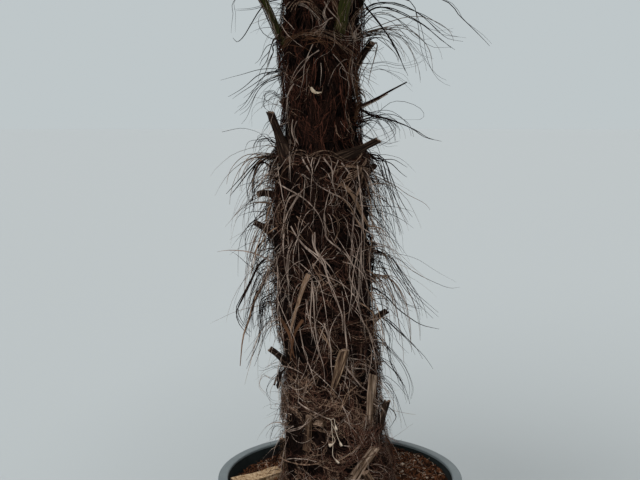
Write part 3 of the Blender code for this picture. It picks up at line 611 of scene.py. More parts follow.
        (1.5, 14, 26, 346, 424, 356, 436, 366, 452, 376, 474),
        (1.5, 14, 24, 384, 420, 374, 430, 360, 438, 346, 440),
        (1.5, 12, 24, 352, 446, 366, 440, 378, 444, 386, 456),
        (1.5, 12, 24, 340, 470, 352, 458, 368, 452, 382, 440),
        (1.5, 10, 20, 388, 446, 392, 458, 390, 470, 384, 480),
    ),
    "fibre_grey": (
        (1.4, 3, 10, 274, 380, 264, 376, 260, 386, 268, 396),
        (1.4, 4, 12, 300, 4, 310, 8, 318, 18, 322, 30),
        (1.6, 3, 10, 330, 0, 324, 12, 326, 24, 318, 36),
    ),
}
# The finishes that are strips; the strands' steps, their distance from the trunk and how much more it
# is in their middle; and how a strand that starts in the air is led to the trunk
SEEN_FLAT = ("strip_grey", "strip_tan", "rust")
SEEN_STEPS = 14
SEEN_OUT = 0.005
SEEN_ARCH = 0.006
SEEN_LINK_RISE = 0.3
SEEN_LINK_DEPTH = 0.003
# Shares of a row's spread by which its strands' starts and their ripples differ, the least ripple,
# and how often a ripple turns
SEEN_START_SHARE = 0.3
SEEN_RIPPLE_SHARE = 0.12
SEEN_RIPPLE = 0.0004
SEEN_RIPPLE_TURN = 9
# A strand counts as on the trunk within this many times its distance; the share of its width that
# the thinnest has, and how its end tapers
SEEN_TOUCH = 1.2
SEEN_THINNEST = 0.6
SEEN_END, SEEN_END_POWER = 0.25, 2.0
SEEN_TIP_UP = 0.2

# Shine of dry fibre, wood and soil, and of what is green, pale or made of plastic
MATT, GLOSSY = 0.08, 0.5
PLAIN = (1, 1, 1)
BASE_FINISH = 0.85, 140, (1, 0.10, 1), MATT, (0.0012, 700), "UV"
# Finishes: the stops of the colours, roughness, the noise's scale and stretch, shine, the bump's
# depth and scale, and the coordinates that the noise follows
FINISHES = {
    # Near black: the old sheaths' dark brown deepened into painted shade for the gaps between the fibres
    "core": (
        ((0.3, (0.0015, 0.0008, 0.0006)), (0.6, (0.005, 0.0025, 0.0018)), (0.85, (0.016, 0.008, 0.005))),
        0.95, 30, (1, 1, 0.25), MATT, (0.002, 160),
    ),
    # Near black: dark fibres, and in the coat's innermost layer painted shade between the fibres over it
    "fibre_dark": (((0.3, (0.004, 0.0018, 0.0013)), (0.7, (0.016, 0.0075, 0.005))), 0.8, 40),
    "strip_grey": (((0.34, (0.080, 0.052, 0.040)), (0.68, (0.46, 0.355, 0.29))), 0.7, 70, (1, 1, 0.3)),
    "strip_tan": (((0.32, (0.095, 0.055, 0.034)), (0.66, (0.33, 0.215, 0.14))), 0.7, 70, (1, 1, 0.3)),
    "rust": (((0.3, (0.040, 0.017, 0.008)), (0.7, (0.135, 0.066, 0.034))), 0.75, 25, (1, 1, 0.3)),
    "leaf_base": (
        ((0.38, (0.012, 0.006, 0.004)), (0.5, (0.085, 0.050, 0.031)), (0.66, (0.36, 0.245, 0.155))),
        *BASE_FINISH,
    ),
    "leaf_base_dark": (
        ((0.38, (0.004, 0.002, 0.0015)), (0.52, (0.018, 0.0095, 0.006)), (0.74, (0.12, 0.078, 0.052))),
        0.85, 260, (1, 0.08, 1), MATT, (0.0012, 700), "UV",
    ),
    "leaf_base_pale": (
        ((0.36, (0.030, 0.017, 0.010)), (0.5, (0.16, 0.106, 0.070)), (0.66, (0.48, 0.36, 0.27))),
        *BASE_FINISH,
    ),
    "cut_face": (
        ((0.35, (0.07, 0.042, 0.027)), (0.65, (0.30, 0.21, 0.15))), 0.9, 220, PLAIN, MATT, (0.0006, 500)
    ),
    "cream": (((0.3, (0.36, 0.26, 0.17)), (0.7, (0.62, 0.52, 0.39))), 0.7, 120, PLAIN, GLOSSY),
    "cream_stalk": (((0.3, (0.30, 0.22, 0.155)), (0.7, (0.72, 0.61, 0.48))), 0.7, 90, PLAIN, GLOSSY),
    "slab": (
        ((0.34, (0.035, 0.020, 0.011)), (0.44, (0.27, 0.17, 0.09)), (0.62, (0.52, 0.38, 0.24))),
        0.85, 160, (1, 0.6, 1), MATT, (0.0015, 260),
    ),
    "soil": (
        ((0.3, (0.004, 0.002, 0.0012)), (0.55, (0.030, 0.013, 0.007)), (0.8, (0.10, 0.045, 0.024))),
        0.95, 90, PLAIN, MATT, (0.004, 220),
    ),
    "chip_dark": (((0.3, (0.006, 0.0026, 0.0015)), (0.7, (0.030, 0.0125, 0.007))), 0.9, 90),
    "chip_red": (((0.3, (0.050, 0.017, 0.007)), (0.7, (0.18, 0.072, 0.032))), 0.9, 90),
    "chip_tan": (((0.3, (0.24, 0.15, 0.10)), (0.7, (0.58, 0.48, 0.38))), 0.9, 90),
    "leaf_new": (((0.3, (0.085, 0.19, 0.035)), (0.7, (0.13, 0.26, 0.055))), 0.42, 12, PLAIN, GLOSSY),
    "leaf_full": (((0.3, (0.035, 0.10, 0.022)), (0.7, (0.065, 0.155, 0.035))), 0.42, 12, PLAIN, GLOSSY),
    "leaf_old": (((0.3, (0.045, 0.095, 0.022)), (0.7, (0.10, 0.14, 0.035))), 0.5, 12, PLAIN, GLOSSY),
    "leaf_tip": (((0.3, (0.30, 0.21, 0.09)), (0.7, (0.45, 0.34, 0.17))), 0.7, 30, PLAIN, GLOSSY),
    "stalk": (
        ((0.35, (0.0035, 0.0048, 0.0008)), (0.68, (0.066, 0.068, 0.014))), 0.6, 60, (1, 0.1, 1), MATT,
        None, "UV",
    ),
    "pot": (
        ((0.3, (0.095, 0.122, 0.130)), (0.7, (0.125, 0.157, 0.166))), 0.5, 14, (1, 1, 0.4), GLOSSY,
        (0.0002, 600),
    ),
    # The pot's inner wall: darker with dirt and with painted shade
    "pot_inside_dirt_and_shade": (((0.3, (0.010, 0.014, 0.014)), (0.7, (0.022, 0.029, 0.029))), 0.7, 30),
}
# The coat's fibres: the darkest and the palest colour, and roughness
COAT_COLOURS = {
    "fibre_umber": ((0.003, 0.0012, 0.0008), (0.036, 0.0145, 0.009), 0.8),
    "fibre_red": ((0.014, 0.006, 0.004), (0.145, 0.068, 0.045), 0.8),
    "fibre_neck": ((0.012, 0.0040, 0.0025), (0.125, 0.046, 0.028), 0.8),
    "fibre_brown": ((0.030, 0.016, 0.010), (0.31, 0.20, 0.137), 0.8),
    "fibre_grey": ((0.075, 0.050, 0.038), (0.56, 0.44, 0.36), 0.75),
}
for name, (dark, pale, roughness) in COAT_COLOURS.items():
    FINISHES[name] = ((0.36, dark), (0.64, pale)), roughness, 200, (1, 1, 0.2)

# Fronds, as in the solids, with finer blades and stalks
FROND_COUNT = 20
# The draw of small turns and lengths that a frond takes, where the first would touch a neighbour
LATER_DRAWS = {3: 3, 7: 2, 10: 3, 13: 24, 14: 6}
LOW_FRONDS = ((1.405, 193.0), (1.418, 291.0))
LOW_FROND_RISE = 0.19
FROND_RISE = 0.30
SPIRAL_FOOT = 1.485
SPIRAL_TOP = 1.650
SPIRAL_BEARING = 20.0
FROND_LOWEST_LEAN = 90.0
FAN_SPREAD = math.radians(290)
FROND_ROOT = 0.012
FROND_FIRST_LEAN = math.radians(2)
# What a new frond has and what age adds: the share of the open sky that it leans over, the lengths
# of its stalk and blade, the share of the fan's spread, its sag and its cup, and its nod in degrees
FROND_OPENING = (0.03, 0.97)
STALK_LENGTH = (0.50, 0.13)
BLADE_LENGTH = (0.36, 0.06)
FAN_OPENING = (0.34, 1.6)
FAN_SAG = (0.04, 0.16)
FAN_CUP = (0.24, -0.20)
FAN_NOD = (2, 10)
# By how much fronds differ at random: bearing, lean, roll and nod in degrees, and the two lengths
BEARING_CHANGE, LEAN_CHANGE, ROLL_CHANGE, NOD_CHANGE = 8, 4, 22, 5
STALK_CHANGE, BLADE_CHANGE = 0.05, 0.01
# How much shorter a fan's hindmost leaflets are, and how much more its sides sag
FAN_BACK_CUT = 0.38
FAN_SIDE_SAG = 0.5
STALK_STEPS = 6
STALK_SIDES, STALK_RINGS = 10, 34
# Teeth on each edge of a stalk: how many, where they start and how far they go, as shares of its
# length, how far in they sit, their sizes, and their thickness, reach and slant for that size
STALK_TEETH = 34
TEETH_START, TEETH_SPAN = 0.14, 0.66
TOOTH_SEAT = 0.92
TOOTH_SIZES = (0.0012, 0.0024)
TOOTH_THICKNESS, TOOTH_REACH, TOOTH_SLANT = 0.7, 1.6, 0.8
# A stalk's half width and half thickness at some shares of its length
STALK_SHARES = (0, 0.1, 0.85, 1)
STALK_HALF_WIDTHS = (0.0145, 0.0130, 0.0072, 0.002)
STALK_HALF_THICKNESSES = (0.0100, 0.0090, 0.0042, 0.001)
# How flat its upper face is, and where on the blade it ends and how deep under it
STALK_FLATNESS = 0.45
STALK_ENDS, STALK_END_DEPTH = (0.03, 0.07), 0.004
# Sheath fibres on the two lowest stalks: how many of each finish, and the steps of a stalk and fibre
STALK_FIBRES = {"fibre_umber": 26, "fibre_brown": 18, "fibre_grey": 7}
STALK_FIBRE_PLACES = 240
STALK_FIBRE_STEPS = 10
# These fibres' places up the stalk and lengths along it, how far aside they start and go, how they
# swing to and fro, and the ranges of their height above the stalk and of their width
STALK_FIBRE_STARTS, STALK_FIBRE_LENGTHS = (0.00, 0.11), (0.03, 0.08)
STALK_FIBRE_ASIDE, STALK_FIBRE_CROSSING = 1.4, 0.9
STALK_FIBRE_SWING, STALK_FIBRE_SWINGS = 0.25, (3, 7)
STALK_FIBRE_LIFTS = (0.001, 0.004)
STALK_FIBRE_WIDTHS, STALK_FIBRE_END = (0.0006, 0.0012), 0.4
# Leaflets of a fan opened wide and of the newest, with the rings, start and fold of each
LEAFLETS = 42
LEAST_LEAFLETS = 11
LEAFLET_RINGS = 16
LEAFLET_START = 0.010
LEAFLET_FOLD = 0.42
# A blade's finish up to each age, from new to old
LEAF_AGES = ((0.25, "leaf_new"), (0.8, "leaf_full"), (1.0, "leaf_old"))
# Leaflets at random: the shares of full length and of the length to the split, bend in degrees,
# droop as a share of length and what age adds; then how much the free part narrows and how wide it
# ends, how much it folds more, and the share with a dead tip, with what age adds to it
LEAFLET_SHARES, SPLIT_SHARES = (0.95, 1.0), (0.40, 0.62)
LEAFLET_BEND = 3.0
LEAFLET_DROOPS, LEAFLET_AGE_DROOP = (0.02, 0.07), 0.10
FREE_NARROWING, FREE_END, FREE_FOLD = 0.25, 0.0012, 0.25
DEAD_TIPS = (0.25, 0.6)
DEAD_TIP_ROWS = 2
SPEAR_LENGTH = 0.62
SPEAR_SIDES, SPEAR_RINGS = 36, 40
SPEAR_SHARES = (0.0, 0.15, 0.4, 0.7, 0.9, 1.0)
SPEAR_RADII = (0.013, 0.012, 0.015, 0.013, 0.007, 0.002)
SPEAR_PLEATS, SPEAR_PLEAT_DEPTH = 9, 0.10
SPEAR_FILL, SPEAR_FLATNESS = 0.96, 0.7
SPEAR_BEND = (0.02, -0.01, 0)


def principled(name, colour, roughness, shine=GLOSSY):
    material = bpy.data.materials.new(name)
    material.use_nodes = True
    shader = material.node_tree.nodes["Principled BSDF"]
    shader.inputs["Base Color"].default_value = (*colour, 1)
    shader.inputs["Roughness"].default_value = roughness
    shader.inputs["Specular IOR Level"].default_value = shine
    material.diffuse_color = (*colour, 1)
    return material


def add_node(material, kind, **values):
    node = material.node_tree.nodes.new(kind)
    for key, value in values.items():
        socket = node.inputs.get(key)
        if socket is None:
            setattr(node, key, value)
        else:
            socket.default_value = value
    return node


def link(material, source, output, target, socket):
    material.node_tree.links.new(source.outputs[output], target.inputs[socket])


def mottled(name, stops, roughness, scale, stretch=PLAIN, shine=MATT, bump=None, along="Object"):
    """A surface whose colour runs through stops by a stretched noise.

    A bump is the depth and the scale of a finer noise. The noise follows the object's axes, or the
    piece's own grain where along is UV.
    """
    material = principled(name, stops[len(stops) // 2][1], roughness, shine)
    shader = material.node_tree.nodes["Principled BSDF"]
    place = add_node(material, "ShaderNodeTexCoord")
    mapping = add_node(material, "ShaderNodeMapping", Scale=stretch)
    noise = add_node(material, "ShaderNodeTexNoise", Scale=scale, Detail=6.0, Roughness=0.6)
    ramp = add_node(material, "ShaderNodeValToRGB")
    elements = ramp.color_ramp.elements
    while len(elements) < len(stops):
        elements.new(0.5)
    for element, (position, colour) in zip(elements, stops):
        element.position = position
        element.color = (*colour, 1)
    link(material, place, along, mapping, "Vector")
    link(material, mapping, "Vector", noise, "Vector")
    link(material, noise, "Fac", ramp, "Fac")
    link(material, ramp, "Color", shader, "Base Color")
    if bump:
        depth, bump_scale = bump
        fine = add_node(material, "ShaderNodeTexNoise", Scale=bump_scale, Detail=5.0)
        height = add_node(material, "ShaderNodeBump", Strength=1.0, Distance=depth)
        link(material, mapping, "Vector", fine, "Vector")
        link(material, fine, "Fac", height, "Height")
        link(material, height, "Normal", shader, "Normal")
    return material


def fast_mesh(name, points, faces):
    """A mesh from an array of points and an array of faces that all have the same number of corners."""
    points = np.ascontiguousarray(points, np.float32).reshape(-1, 3)
    faces = np.ascontiguousarray(faces, np.int32)
    count, corners = faces.shape
    mesh = bpy.data.meshes.new(name)
    mesh.vertices.add(len(points))
    mesh.vertices.foreach_set("co", points.ravel())
    mesh.loops.add(count * corners)
    mesh.loops.foreach_set("vertex_index", faces.ravel())
    mesh.polygons.add(count)
    mesh.polygons.foreach_set("loop_start", np.arange(count, dtype=np.int32) * corners)
    mesh.update(calc_edges=True)
    return mesh


def mixed_mesh(name, points, faces):
    """A mesh whose faces have different numbers of corners."""
    mesh = bpy.data.meshes.new(name)
    mesh.from_pydata([tuple(point) for point in points], [], [tuple(face) for face in faces])
    return mesh


def finished_mesh(name, bm):
    mesh = bpy.data.meshes.new(name)
    bm.to_mesh(mesh)
    bm.free()
    return mesh


def add_object(name, data):
    obj = bpy.data.objects.new(name, data)
    bpy.context.scene.collection.objects.link(obj)
    return obj


def add_piece(name, mesh, finishes, nodes=()):
    """A piece of the plant that rides on the part's body and may stand for some of its solids."""
    obj = add_object(name, mesh)
    for finish in finishes:
        mesh.materials.append(MATERIALS[finish])
    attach(obj, "root")
    if nodes:
        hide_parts(*nodes)


def add_grain(mesh, across, along):
    """Gives a mesh flat coordinates, in metres, that its material's grain follows."""
    corners = np.empty(len(mesh.loops), np.int32)
    mesh.loops.foreach_get("vertex_index", corners)
    flat = np.stack([across[corners], along[corners]], axis=-1).astype(np.float32)
    mesh.uv_layers.new(name="grain").data.foreach_set("uv", flat.ravel())


def smooth(mesh, angle=180):
    mesh.shade_smooth()
    if angle < 180:
        mesh.set_sharp_from_angle(angle=math.radians(angle))


def grid_faces(rows, columns, wrap=False):
    """Quads of a grid of points, closed round its columns if wrap is set."""
    across = columns if wrap else columns - 1
    i, j = np.meshgrid(np.arange(rows - 1), np.arange(across), indexing="ij")
    following = (j + 1) % columns
    quads = np.stack(
        [i * columns + j, i * columns + following, (i + 1) * columns + following, (i + 1) * columns + j],
        axis=-1,
    )
    return quads.reshape(-1, 4)


def unit(vectors):
    return vectors / np.maximum(np.linalg.norm(vectors, axis=-1, keepdims=True), 1e-9)


def across_path(path, side):
    """Along a path, its directions and two square to them, of which the first is nearest to side."""
    along = unit(np.gradient(path, axis=0))
    side = unit(side - along * (along @ side)[:, None])
    return along, side, np.cross(side, along)


def turned(bearings, bearing):
    """How far bearings are turned from one bearing, by half a turn either way at most."""
    return (bearings - bearing + math.pi) % math.tau - math.pi


def either_way(rng, most):
    return rng.uniform(-most, most)


# Profiles of strands
TUBE = ((1.0, 0.0), (-0.5, 0.87), (-0.5, -0.87))
GUTTER = ((-1.0, 0.35), (0.0, -0.25), (1.0, 0.35))
FLAT = ((-1.0, 0.0), (1.0, 0.0))


def sweep(paths, outward, half_widths, profile):
    """Points and quads of strands: a small profile carried along each path.

    paths is strands x steps x 3, outward a vector at each of its points that the profile's second
    axis follows, and half_widths strands x steps. Only the tube's profile is closed.
    """
    strands, steps, _ = paths.shape
    along = np.empty_like(paths)
    along[:, 1:-1] = paths[:, 2:] - paths[:, :-2]
    along[:, 0] = paths[:, 1] - paths[:, 0]
    along[:, -1] = paths[:, -1] - paths[:, -2]
    along = unit(along)
    side = unit(np.cross(along, outward))
    face = np.cross(side, along)
    corners = np.array(profile)
    width = half_widths[..., None, None]
    points = (
        paths[:, :, None]
        + side[:, :, None] * corners[:, 0, None] * width
        + face[:, :, None] * corners[:, 1, None] * width
    )
    one = grid_faces(steps, len(profile), wrap=profile is TUBE)
    faces = one[None] + (np.arange(strands) * steps * len(profile))[:, None, None]
    return points.reshape(-1, 3), faces.reshape(-1, 4)


def add_strands(name, groups, profile, finish, nodes=()):
    """One piece of several groups of strands, each a tuple of paths, outward vectors and half widths."""
    all_points, all_faces, start = [], [], 0
    for paths, outward, half_widths in groups:
        points, faces = sweep(paths, outward, half_widths, profile)
        all_points.append(points)
        all_faces.append(faces + start)
        start += len(points)
    mesh = fast_mesh(name, np.concatenate(all_points), np.concatenate(all_faces))
    smooth(mesh)
    add_piece(name, mesh, [finish], nodes)


def trunk_at(height):
    """The trunk's radius and the place of its middle at a height, smoothed between the stations."""
    stations = TRUNK_STATIONS
    height = max(stations[0][0], min(stations[-1][0], height))
    for (low, r0, x0), (high, r1, x1) in zip(stations, stations[1:]):
        if height <= high:
            share = (height - low) / (high - low)
            share = share * share * (3 - 2 * share)
            return r0 + (r1 - r0) * share, Vector((x0 + (x1 - x0) * share, 0, height))
    return stations[-1][1], Vector((stations[-1][2], 0, height))


def waves(rows, bearings, heights):
    """The sum of waves that wind round the axis.

    Each row has a wave's height, how many of it go round, its slope and its phase.
    """
    return sum(
        size * np.sin(around * bearings + slope * heights + phase) for size, around, slope, phase in rows
    )


def trunk_relief(bearings, heights):
    """Low swellings that wind round the trunk where old leaf sheaths lie one over another."""
    above, below = RELIEF_FADE
    shoulder = np.clip((RELIEF_TOP - heights) / above, 0, 1) * np.clip((heights - TRUNK_FOOT) / below, 0, 1)
    return shoulder * waves(RELIEF_WAVES, bearings, heights)


def trunk_point(bearing, height, out):
    """One place on the trunk, or out from it."""
    radius, middle = trunk_at(height)
    radius += float(trunk_relief(bearing, height)) + out
    return middle + radius * Vector((math.cos(bearing), math.sin(bearing), 0))


TABLE_HEIGHTS = np.linspace(TRUNK_FOOT, TRUNK_TOP, TRUNK_TABLE_ROWS)
TABLE_RADII = np.array([trunk_at(height)[0] for height in TABLE_HEIGHTS])
TABLE_MIDDLES = np.array([trunk_at(height)[1].x for height in TABLE_HEIGHTS])


def trunk_radii(bearings, heights):
    return np.interp(heights, TABLE_HEIGHTS, TABLE_RADII) + trunk_relief(bearings, heights)


def trunk_points(bearings, heights, out):
    """Many places on the trunk, or out from it."""
    radii = trunk_radii(bearings, heights) + out
    x = np.interp(heights, TABLE_HEIGHTS, TABLE_MIDDLES) + radii * np.cos(bearings)
    return np.stack([x, radii * np.sin(bearings), heights], axis=-1)


def round_axis(points):
    """The bearings of points round the trunk's axis, and their distances from it."""
    off_axis = points[..., 0] - np.interp(points[..., 2], TABLE_HEIGHTS, TABLE_MIDDLES)
    return np.arctan2(points[..., 1], off_axis), np.hypot(off_axis, points[..., 1])


def outward_at(bearings):
    return np.stack([np.cos(bearings), np.sin(bearings), np.zeros_like(bearings)], axis=-1)


def wandering(rng, bearings, heights, headings, lengths, steps, curl, wave, base, arch):
    """Strands that lie on the trunk.

    Each starts at a bearing and a height and runs off at a heading, where 0 is straight down and a
    quarter turn is level. It turns by curl in all and swings to and fro by wave. It lies base out
    from the surface, and arch further in its middle.
    """
    count = len(bearings)
    phase = rng.uniform(0, math.tau, count)
    swings = rng.uniform(*SWINGS, count)
    step = lengths / (steps - 1)
    paths, outward = [], []
    for share in np.linspace(0, 1, steps):
        paths.append(trunk_points(bearings, heights, base + arch * math.sin(math.pi * share)))
        outward.append(outward_at(bearings))
        heading = headings + curl * share + wave * np.sin(phase + math.tau * swings * share)
        bearings = bearings + step * np.sin(heading) / MEAN_RADIUS
        heights = np.clip(heights - step * np.cos(heading), TRUNK_FOOT + SOIL_CLEARANCE, TRUNK_TOP)
    return np.stack(paths, axis=1), np.stack(outward, axis=1)


def clear_of_trunk(points, clearance):
    """Moves points out from the trunk's axis where they lie less than clearance from its surface.

    The clearance is one number, or one for each point.
    """
    bearings, distances = round_axis(points)
    least = trunk_radii(bearings, points[..., 2]) + clearance
    short = (least - distances) * (points[..., 2] < TRUNK_TOP)
    return points + np.maximum(short, 0)[..., None] * outward_at(bearings)


def outward_from_axis(paths, rise):
    """At each point of some paths, the direction away from the trunk's axis, tipped up by rise."""
    outward = outward_at(round_axis(paths)[0])
    outward[..., 2] = rise
    return outward


def hanging(rng, starts, directions, lengths, weight, curl, clearance):
    """Strands that leave the trunk and sink under their own weight, lying on the trunk where they meet it.

    weight is how much a strand's direction turns down over its whole length, and curl how much it
    bends about its own axis of bending.
    """
    shape = (len(starts), 3)
    gaps = HANGING_STEPS - 1
    direction = unit(directions)
    axis = unit(rng.normal(0, 1, shape))
    places = [starts]
    for _ in range(gaps):
        turn = np.cross(axis, direction) * (curl / gaps)[:, None]
        pull = -np.array(UP) * (weight / gaps)[:, None]
        direction = unit(direction + turn + pull + rng.normal(0, HANGING_JITTER, shape))
        place = clear_of_trunk(places[-1] + direction * (lengths / gaps)[:, None], clearance)
        direction = unit(place - places[-1])
        places.append(place)
    paths = np.stack(places, axis=1)
    return paths, outward_from_axis(paths, HANGING_TIP_UP)


def widths(rng, count, steps, low, high, end, power=1.0):
    """Half widths along strands, whose widths lie between low and high and taper to end of that."""
    shape = 1 + (end - 1) * np.linspace(0, 1, steps) ** power
    return rng.uniform(low / 2, high / 2, count)[:, None] * shape


def rising_path(start, bearing, lean_out, lean_more, length, steps, tilt=0.0):
    """Points along a limb that starts leaning out from upright by lean_out, and bends by lean_more.

    Tilt turns its upright to the right, as seen from outside the trunk.
    """
    outward = Vector((math.cos(bearing), math.sin(bearing), 0))
    side = Vector((-math.sin(bearing), math.cos(bearing), 0))
    upright = UP * math.cos(tilt) + side * math.sin(tilt)
    points = [start.copy()]
    for k in range(steps):
        lean = lean_out + lean_more * (k + 0.5) / steps
        direction = outward * math.sin(lean) + upright * math.cos(lean)
        points.append(points[-1] + direction * (length / steps))
    return points


def spline(points, steps):
    """A smooth path through points, with steps points in all."""
    points = np.array([tuple(point) for point in points])
    ends = np.concatenate([2 * points[:1] - points[1:2], points, 2 * points[-1:] - points[-2:-1]])
    places = np.linspace(0, len(points) - 1.000001, steps)
    k = places.astype(int)
    t = (places - k)[:, None]
    a, b, c, d = ends[k], ends[k + 1], ends[k + 2], ends[k + 3]
    return 0.5 * (2 * b + (c - a) * t + (2 * a - 5 * b + 4 * c - d) * t**2 + (3 * b - a - 3 * c + d) * t**3)


def seen_point(x, y, out):
    """A pixel of the photograph as a place: out from the trunk's surface, or beside it over its axis."""
    focal = CAMERA_LENS / SENSOR_WIDTH * PHOTO_WIDTH
    pitch = math.pi / 2 - CAMERA_PITCH
    across, up = (x - PHOTO_WIDTH / 2) / focal, (PHOTO_HEIGHT / 2 - y) / focal
    ray = np.array((across, math.cos(pitch) + up * math.sin(pitch), up * math.cos(pitch) - math.sin(pitch)))
    eye = np.array(CAMERA_PLACE)
    places = eye + ray * ((np.linspace(*RAY_SPAN, RAY_STEPS) - eye[1]) / ray[1])[:, None]
    bearings, distances = round_axis(places)
    inside = distances <= trunk_radii(bearings, places[:, 2]) + out
    return places[np.argmax(inside)] if inside.any() else places[-1]


def seen_path(route, out, steps):
    """A route in the photograph's pixels as a smooth path with steps points."""
    return spline([seen_point(x, y, out) for x, y in route], steps)


def leaf_bases():
    """The cut leaf bases: those that show in front, and more in the trunk's spiral at the back."""
    bases = list(SHOWN_BASES)
    rng = random.Random(11)
    for k in range(HIDDEN_BASE_COUNT):
        bearing = HIDDEN_BASE_BEARING + (math.degrees(GOLDEN_ANGLE) * k) % HIDDEN_BASE_SECTOR
        drawn = [rng.uniform(low, high) for low, high in HIDDEN_BASE_RANGES]
        bases.append((HIDDEN_BASE_FOOT + HIDDEN_BASE_STEP * k, bearing, *drawn))
    return bases


def bare_places():
    """Places on the trunk that the coat's upper fibres keep off, as bearing, height and half sizes.

    The first list is of hollows: those seen in front and others at random behind. The second is of
    the cut leaf bases.
    """
    hollows = []
    for x, y, half_width, half_height in HOLLOWS:
        place = seen_point(x, y, 0.0)
        bearing = round_axis(place)[0]
        facing = max(LEAST_FACING, -math.sin(bearing))
        hollows.append((bearing, place[2], half_width * PIXEL / MEAN_RADIUS / facing, half_height * PIXEL))
    rng = np.random.default_rng(77)
    for _ in range(RANDOM_HOLLOWS):
        bearing, *rest = (rng.uniform(*limits) for limits in HOLLOW_RANGES)
        hollows.append((math.radians(bearing), *rest))
    stubs = []
    for height, bearing, length, lean, tilt, *_ in leaf_bases():
        bearing, lean, tilt = (math.radians(angle) for angle in (bearing, lean, tilt))
        for share in STUB_PLACES:
            up = share * length * math.cos(lean)
            around = up * math.sin(tilt) / STUB_RADIUS
            place = bearing + around, height + up * math.cos(tilt)
            stubs.append((*place, STUB_HALF_WIDTH, STUB_HALF_HEIGHT * length))
    return np.array(hollows), np.array(stubs)


def share_in(paths, places):
    """For each path, the greatest share of its points that lies in any one of some places."""
    bearings, heights = round_axis(paths)[0], paths[..., 2]
    greatest = np.zeros(len(paths))
    for bearing, height, half_width, half_height in places:
        turn = turned(bearings, bearing)
        inside = (turn / half_width) ** 2 + ((heights - height) / half_height) ** 2 < 1
        greatest = np.maximum(greatest, inside.mean(axis=1))
    return greatest


def kept_clear(groups):
    """Groups of strands without those that would fill a hollow or cover a cut leaf base."""
    kept = []
    for paths, outward, half_widths in groups:
        stay = (share_in(paths, BARE_HOLLOWS) < HOLLOW_SHARE) & (share_in(paths, BARE_STUBS) < STUB_SHARE)
        kept.append((paths[stay], outward[stay], half_widths[stay]))
    return kept


BARE_HOLLOWS, BARE_STUBS = bare_places()

MATERIALS = {name: mottled(name, *row) for name, row in FINISHES.items()}


def make_core():
    """The trunk under its fibres: the old sheaths' plates, overlapping up the trunk in a spiral."""
    bearings, heights = np.meshgrid(
        np.arange(CORE_COLUMNS) * math.tau / CORE_COLUMNS, np.linspace(TRUNK_FOOT, TRUNK_TOP, CORE_ROWS)
    )
    sunk = np.full(bearings.shape, -CORE_DEPTH)
    for plate, foot in enumerate(np.arange(TRUNK_FOOT - PLATE_START, RELIEF_TOP, PLATE_SPACING), 1):
        turn = turned(bearings, plate * GOLDEN_ANGLE)
        up = (heights - foot) / PLATE_LENGTH
        half_width = PLATE_HALF_WIDTH * (PLATE_FOOT_SHARE - PLATE_NARROWING * np.clip(up, 0, 1))
        inside = (np.abs(turn) < half_width) & (up > 0) & (up < 1)
        bulge = PLATE_BULGE * up * np.sqrt(np.clip(1 - (turn / half_width) ** 2, 0, 1))
        sunk = np.where(inside, np.maximum(sunk, bulge - CORE_DEPTH), sunk)
    rng = np.random.default_rng(4)
    ridges = []
    for _ in range(RIDGE_COUNT):
        around, slope = rng.integers(*RIDGES_ROUND), rng.uniform(*RIDGE_SLOPES)
        ridges.append((RIDGE_HEIGHT, around, slope, rng.uniform(0, math.tau)))
    out = sunk + waves(ridges, bearings, heights)
    out[-2:] = -CORE_TOP_DEPTH
    mesh = fast_mesh("core_sides", trunk_points(bearings, heights, out), grid_faces(*out.shape, wrap=True))
    bm = bmesh.new()
    bm.from_mesh(mesh)
    bmesh.ops.holes_fill(bm, edges=[edge for edge in bm.edges if edge.is_boundary])
    mesh = finished_mesh("trunk_core", bm)
    smooth(mesh, 50)
    # The core's near-black finish is painted shade that shows in the gaps between the fibres
    add_piece("trunk_core", mesh, ["core"], ["trunk"])


def mat_layer(rng, count, low, high, lean, spread, length, width, base, curl, steps, clump):
    """Fibres of the matted coat between two heights, leaning either way from straight down by lean.

    They come in clumps of near-alike ones, and neighbouring clumps lean alike, because the lean also
    follows a slow wave round the trunk. Each fibre is a ribbon turned a little aside.
    """
    clumps = count // clump
    member = rng.integers(0, clumps, count)
    loose = 0.0 if clump == 1 else 1.0
    side = np.where(rng.random(clumps) < RIGHTWARD_SHARE, 1.0, -1.0)[member]
    bearings = rng.uniform(0, math.tau, clumps)[member] + rng.normal(0, CLUMP_TURN, count) * loose
    heights = rng.uniform(low, high, clumps)[member] + rng.normal(0, CLUMP_RISE, count) * loose
    drift = waves(LEAN_DRIFT, bearings, heights)
    headings = side * (lean + rng.normal(0, spread, clumps)[member]) + drift
    headings += rng.normal(0, CLUMP_LEAN, count) * loose
    bend = rng.normal(0, curl, clumps)[member] + rng.normal(0, CLUMP_CURL, count) * loose
    wave = np.abs(rng.normal(0, COAT_SWING, clumps))[member]
    lengths = rng.uniform(*length, count)
    depth = rng.uniform(*base, count)
    arch = rng.uniform(0.0, COAT_ARCH, count)
    paths, outward = wandering(rng, bearings, heights, headings, lengths, steps, bend, wave, depth, arch)
    outward = outward + rng.normal(0, RIBBON_TURN, (count, 1, 3))
    return paths, outward, widths(rng, count, steps, *width, RIBBON_END)


def make_mat():
    """The matted coat: a curly web at the foot, hanging in the middle, fine and upright on top."""
    rng = np.random.default_rng(8)
    for colour, rows in COAT.items():
        groups = [mat_layer(rng, *row) for row in rows]
        if colour != "dark":
            groups = kept_clear(groups)
        add_strands(f"mat_{colour}", groups, FLAT, f"fibre_{colour}")


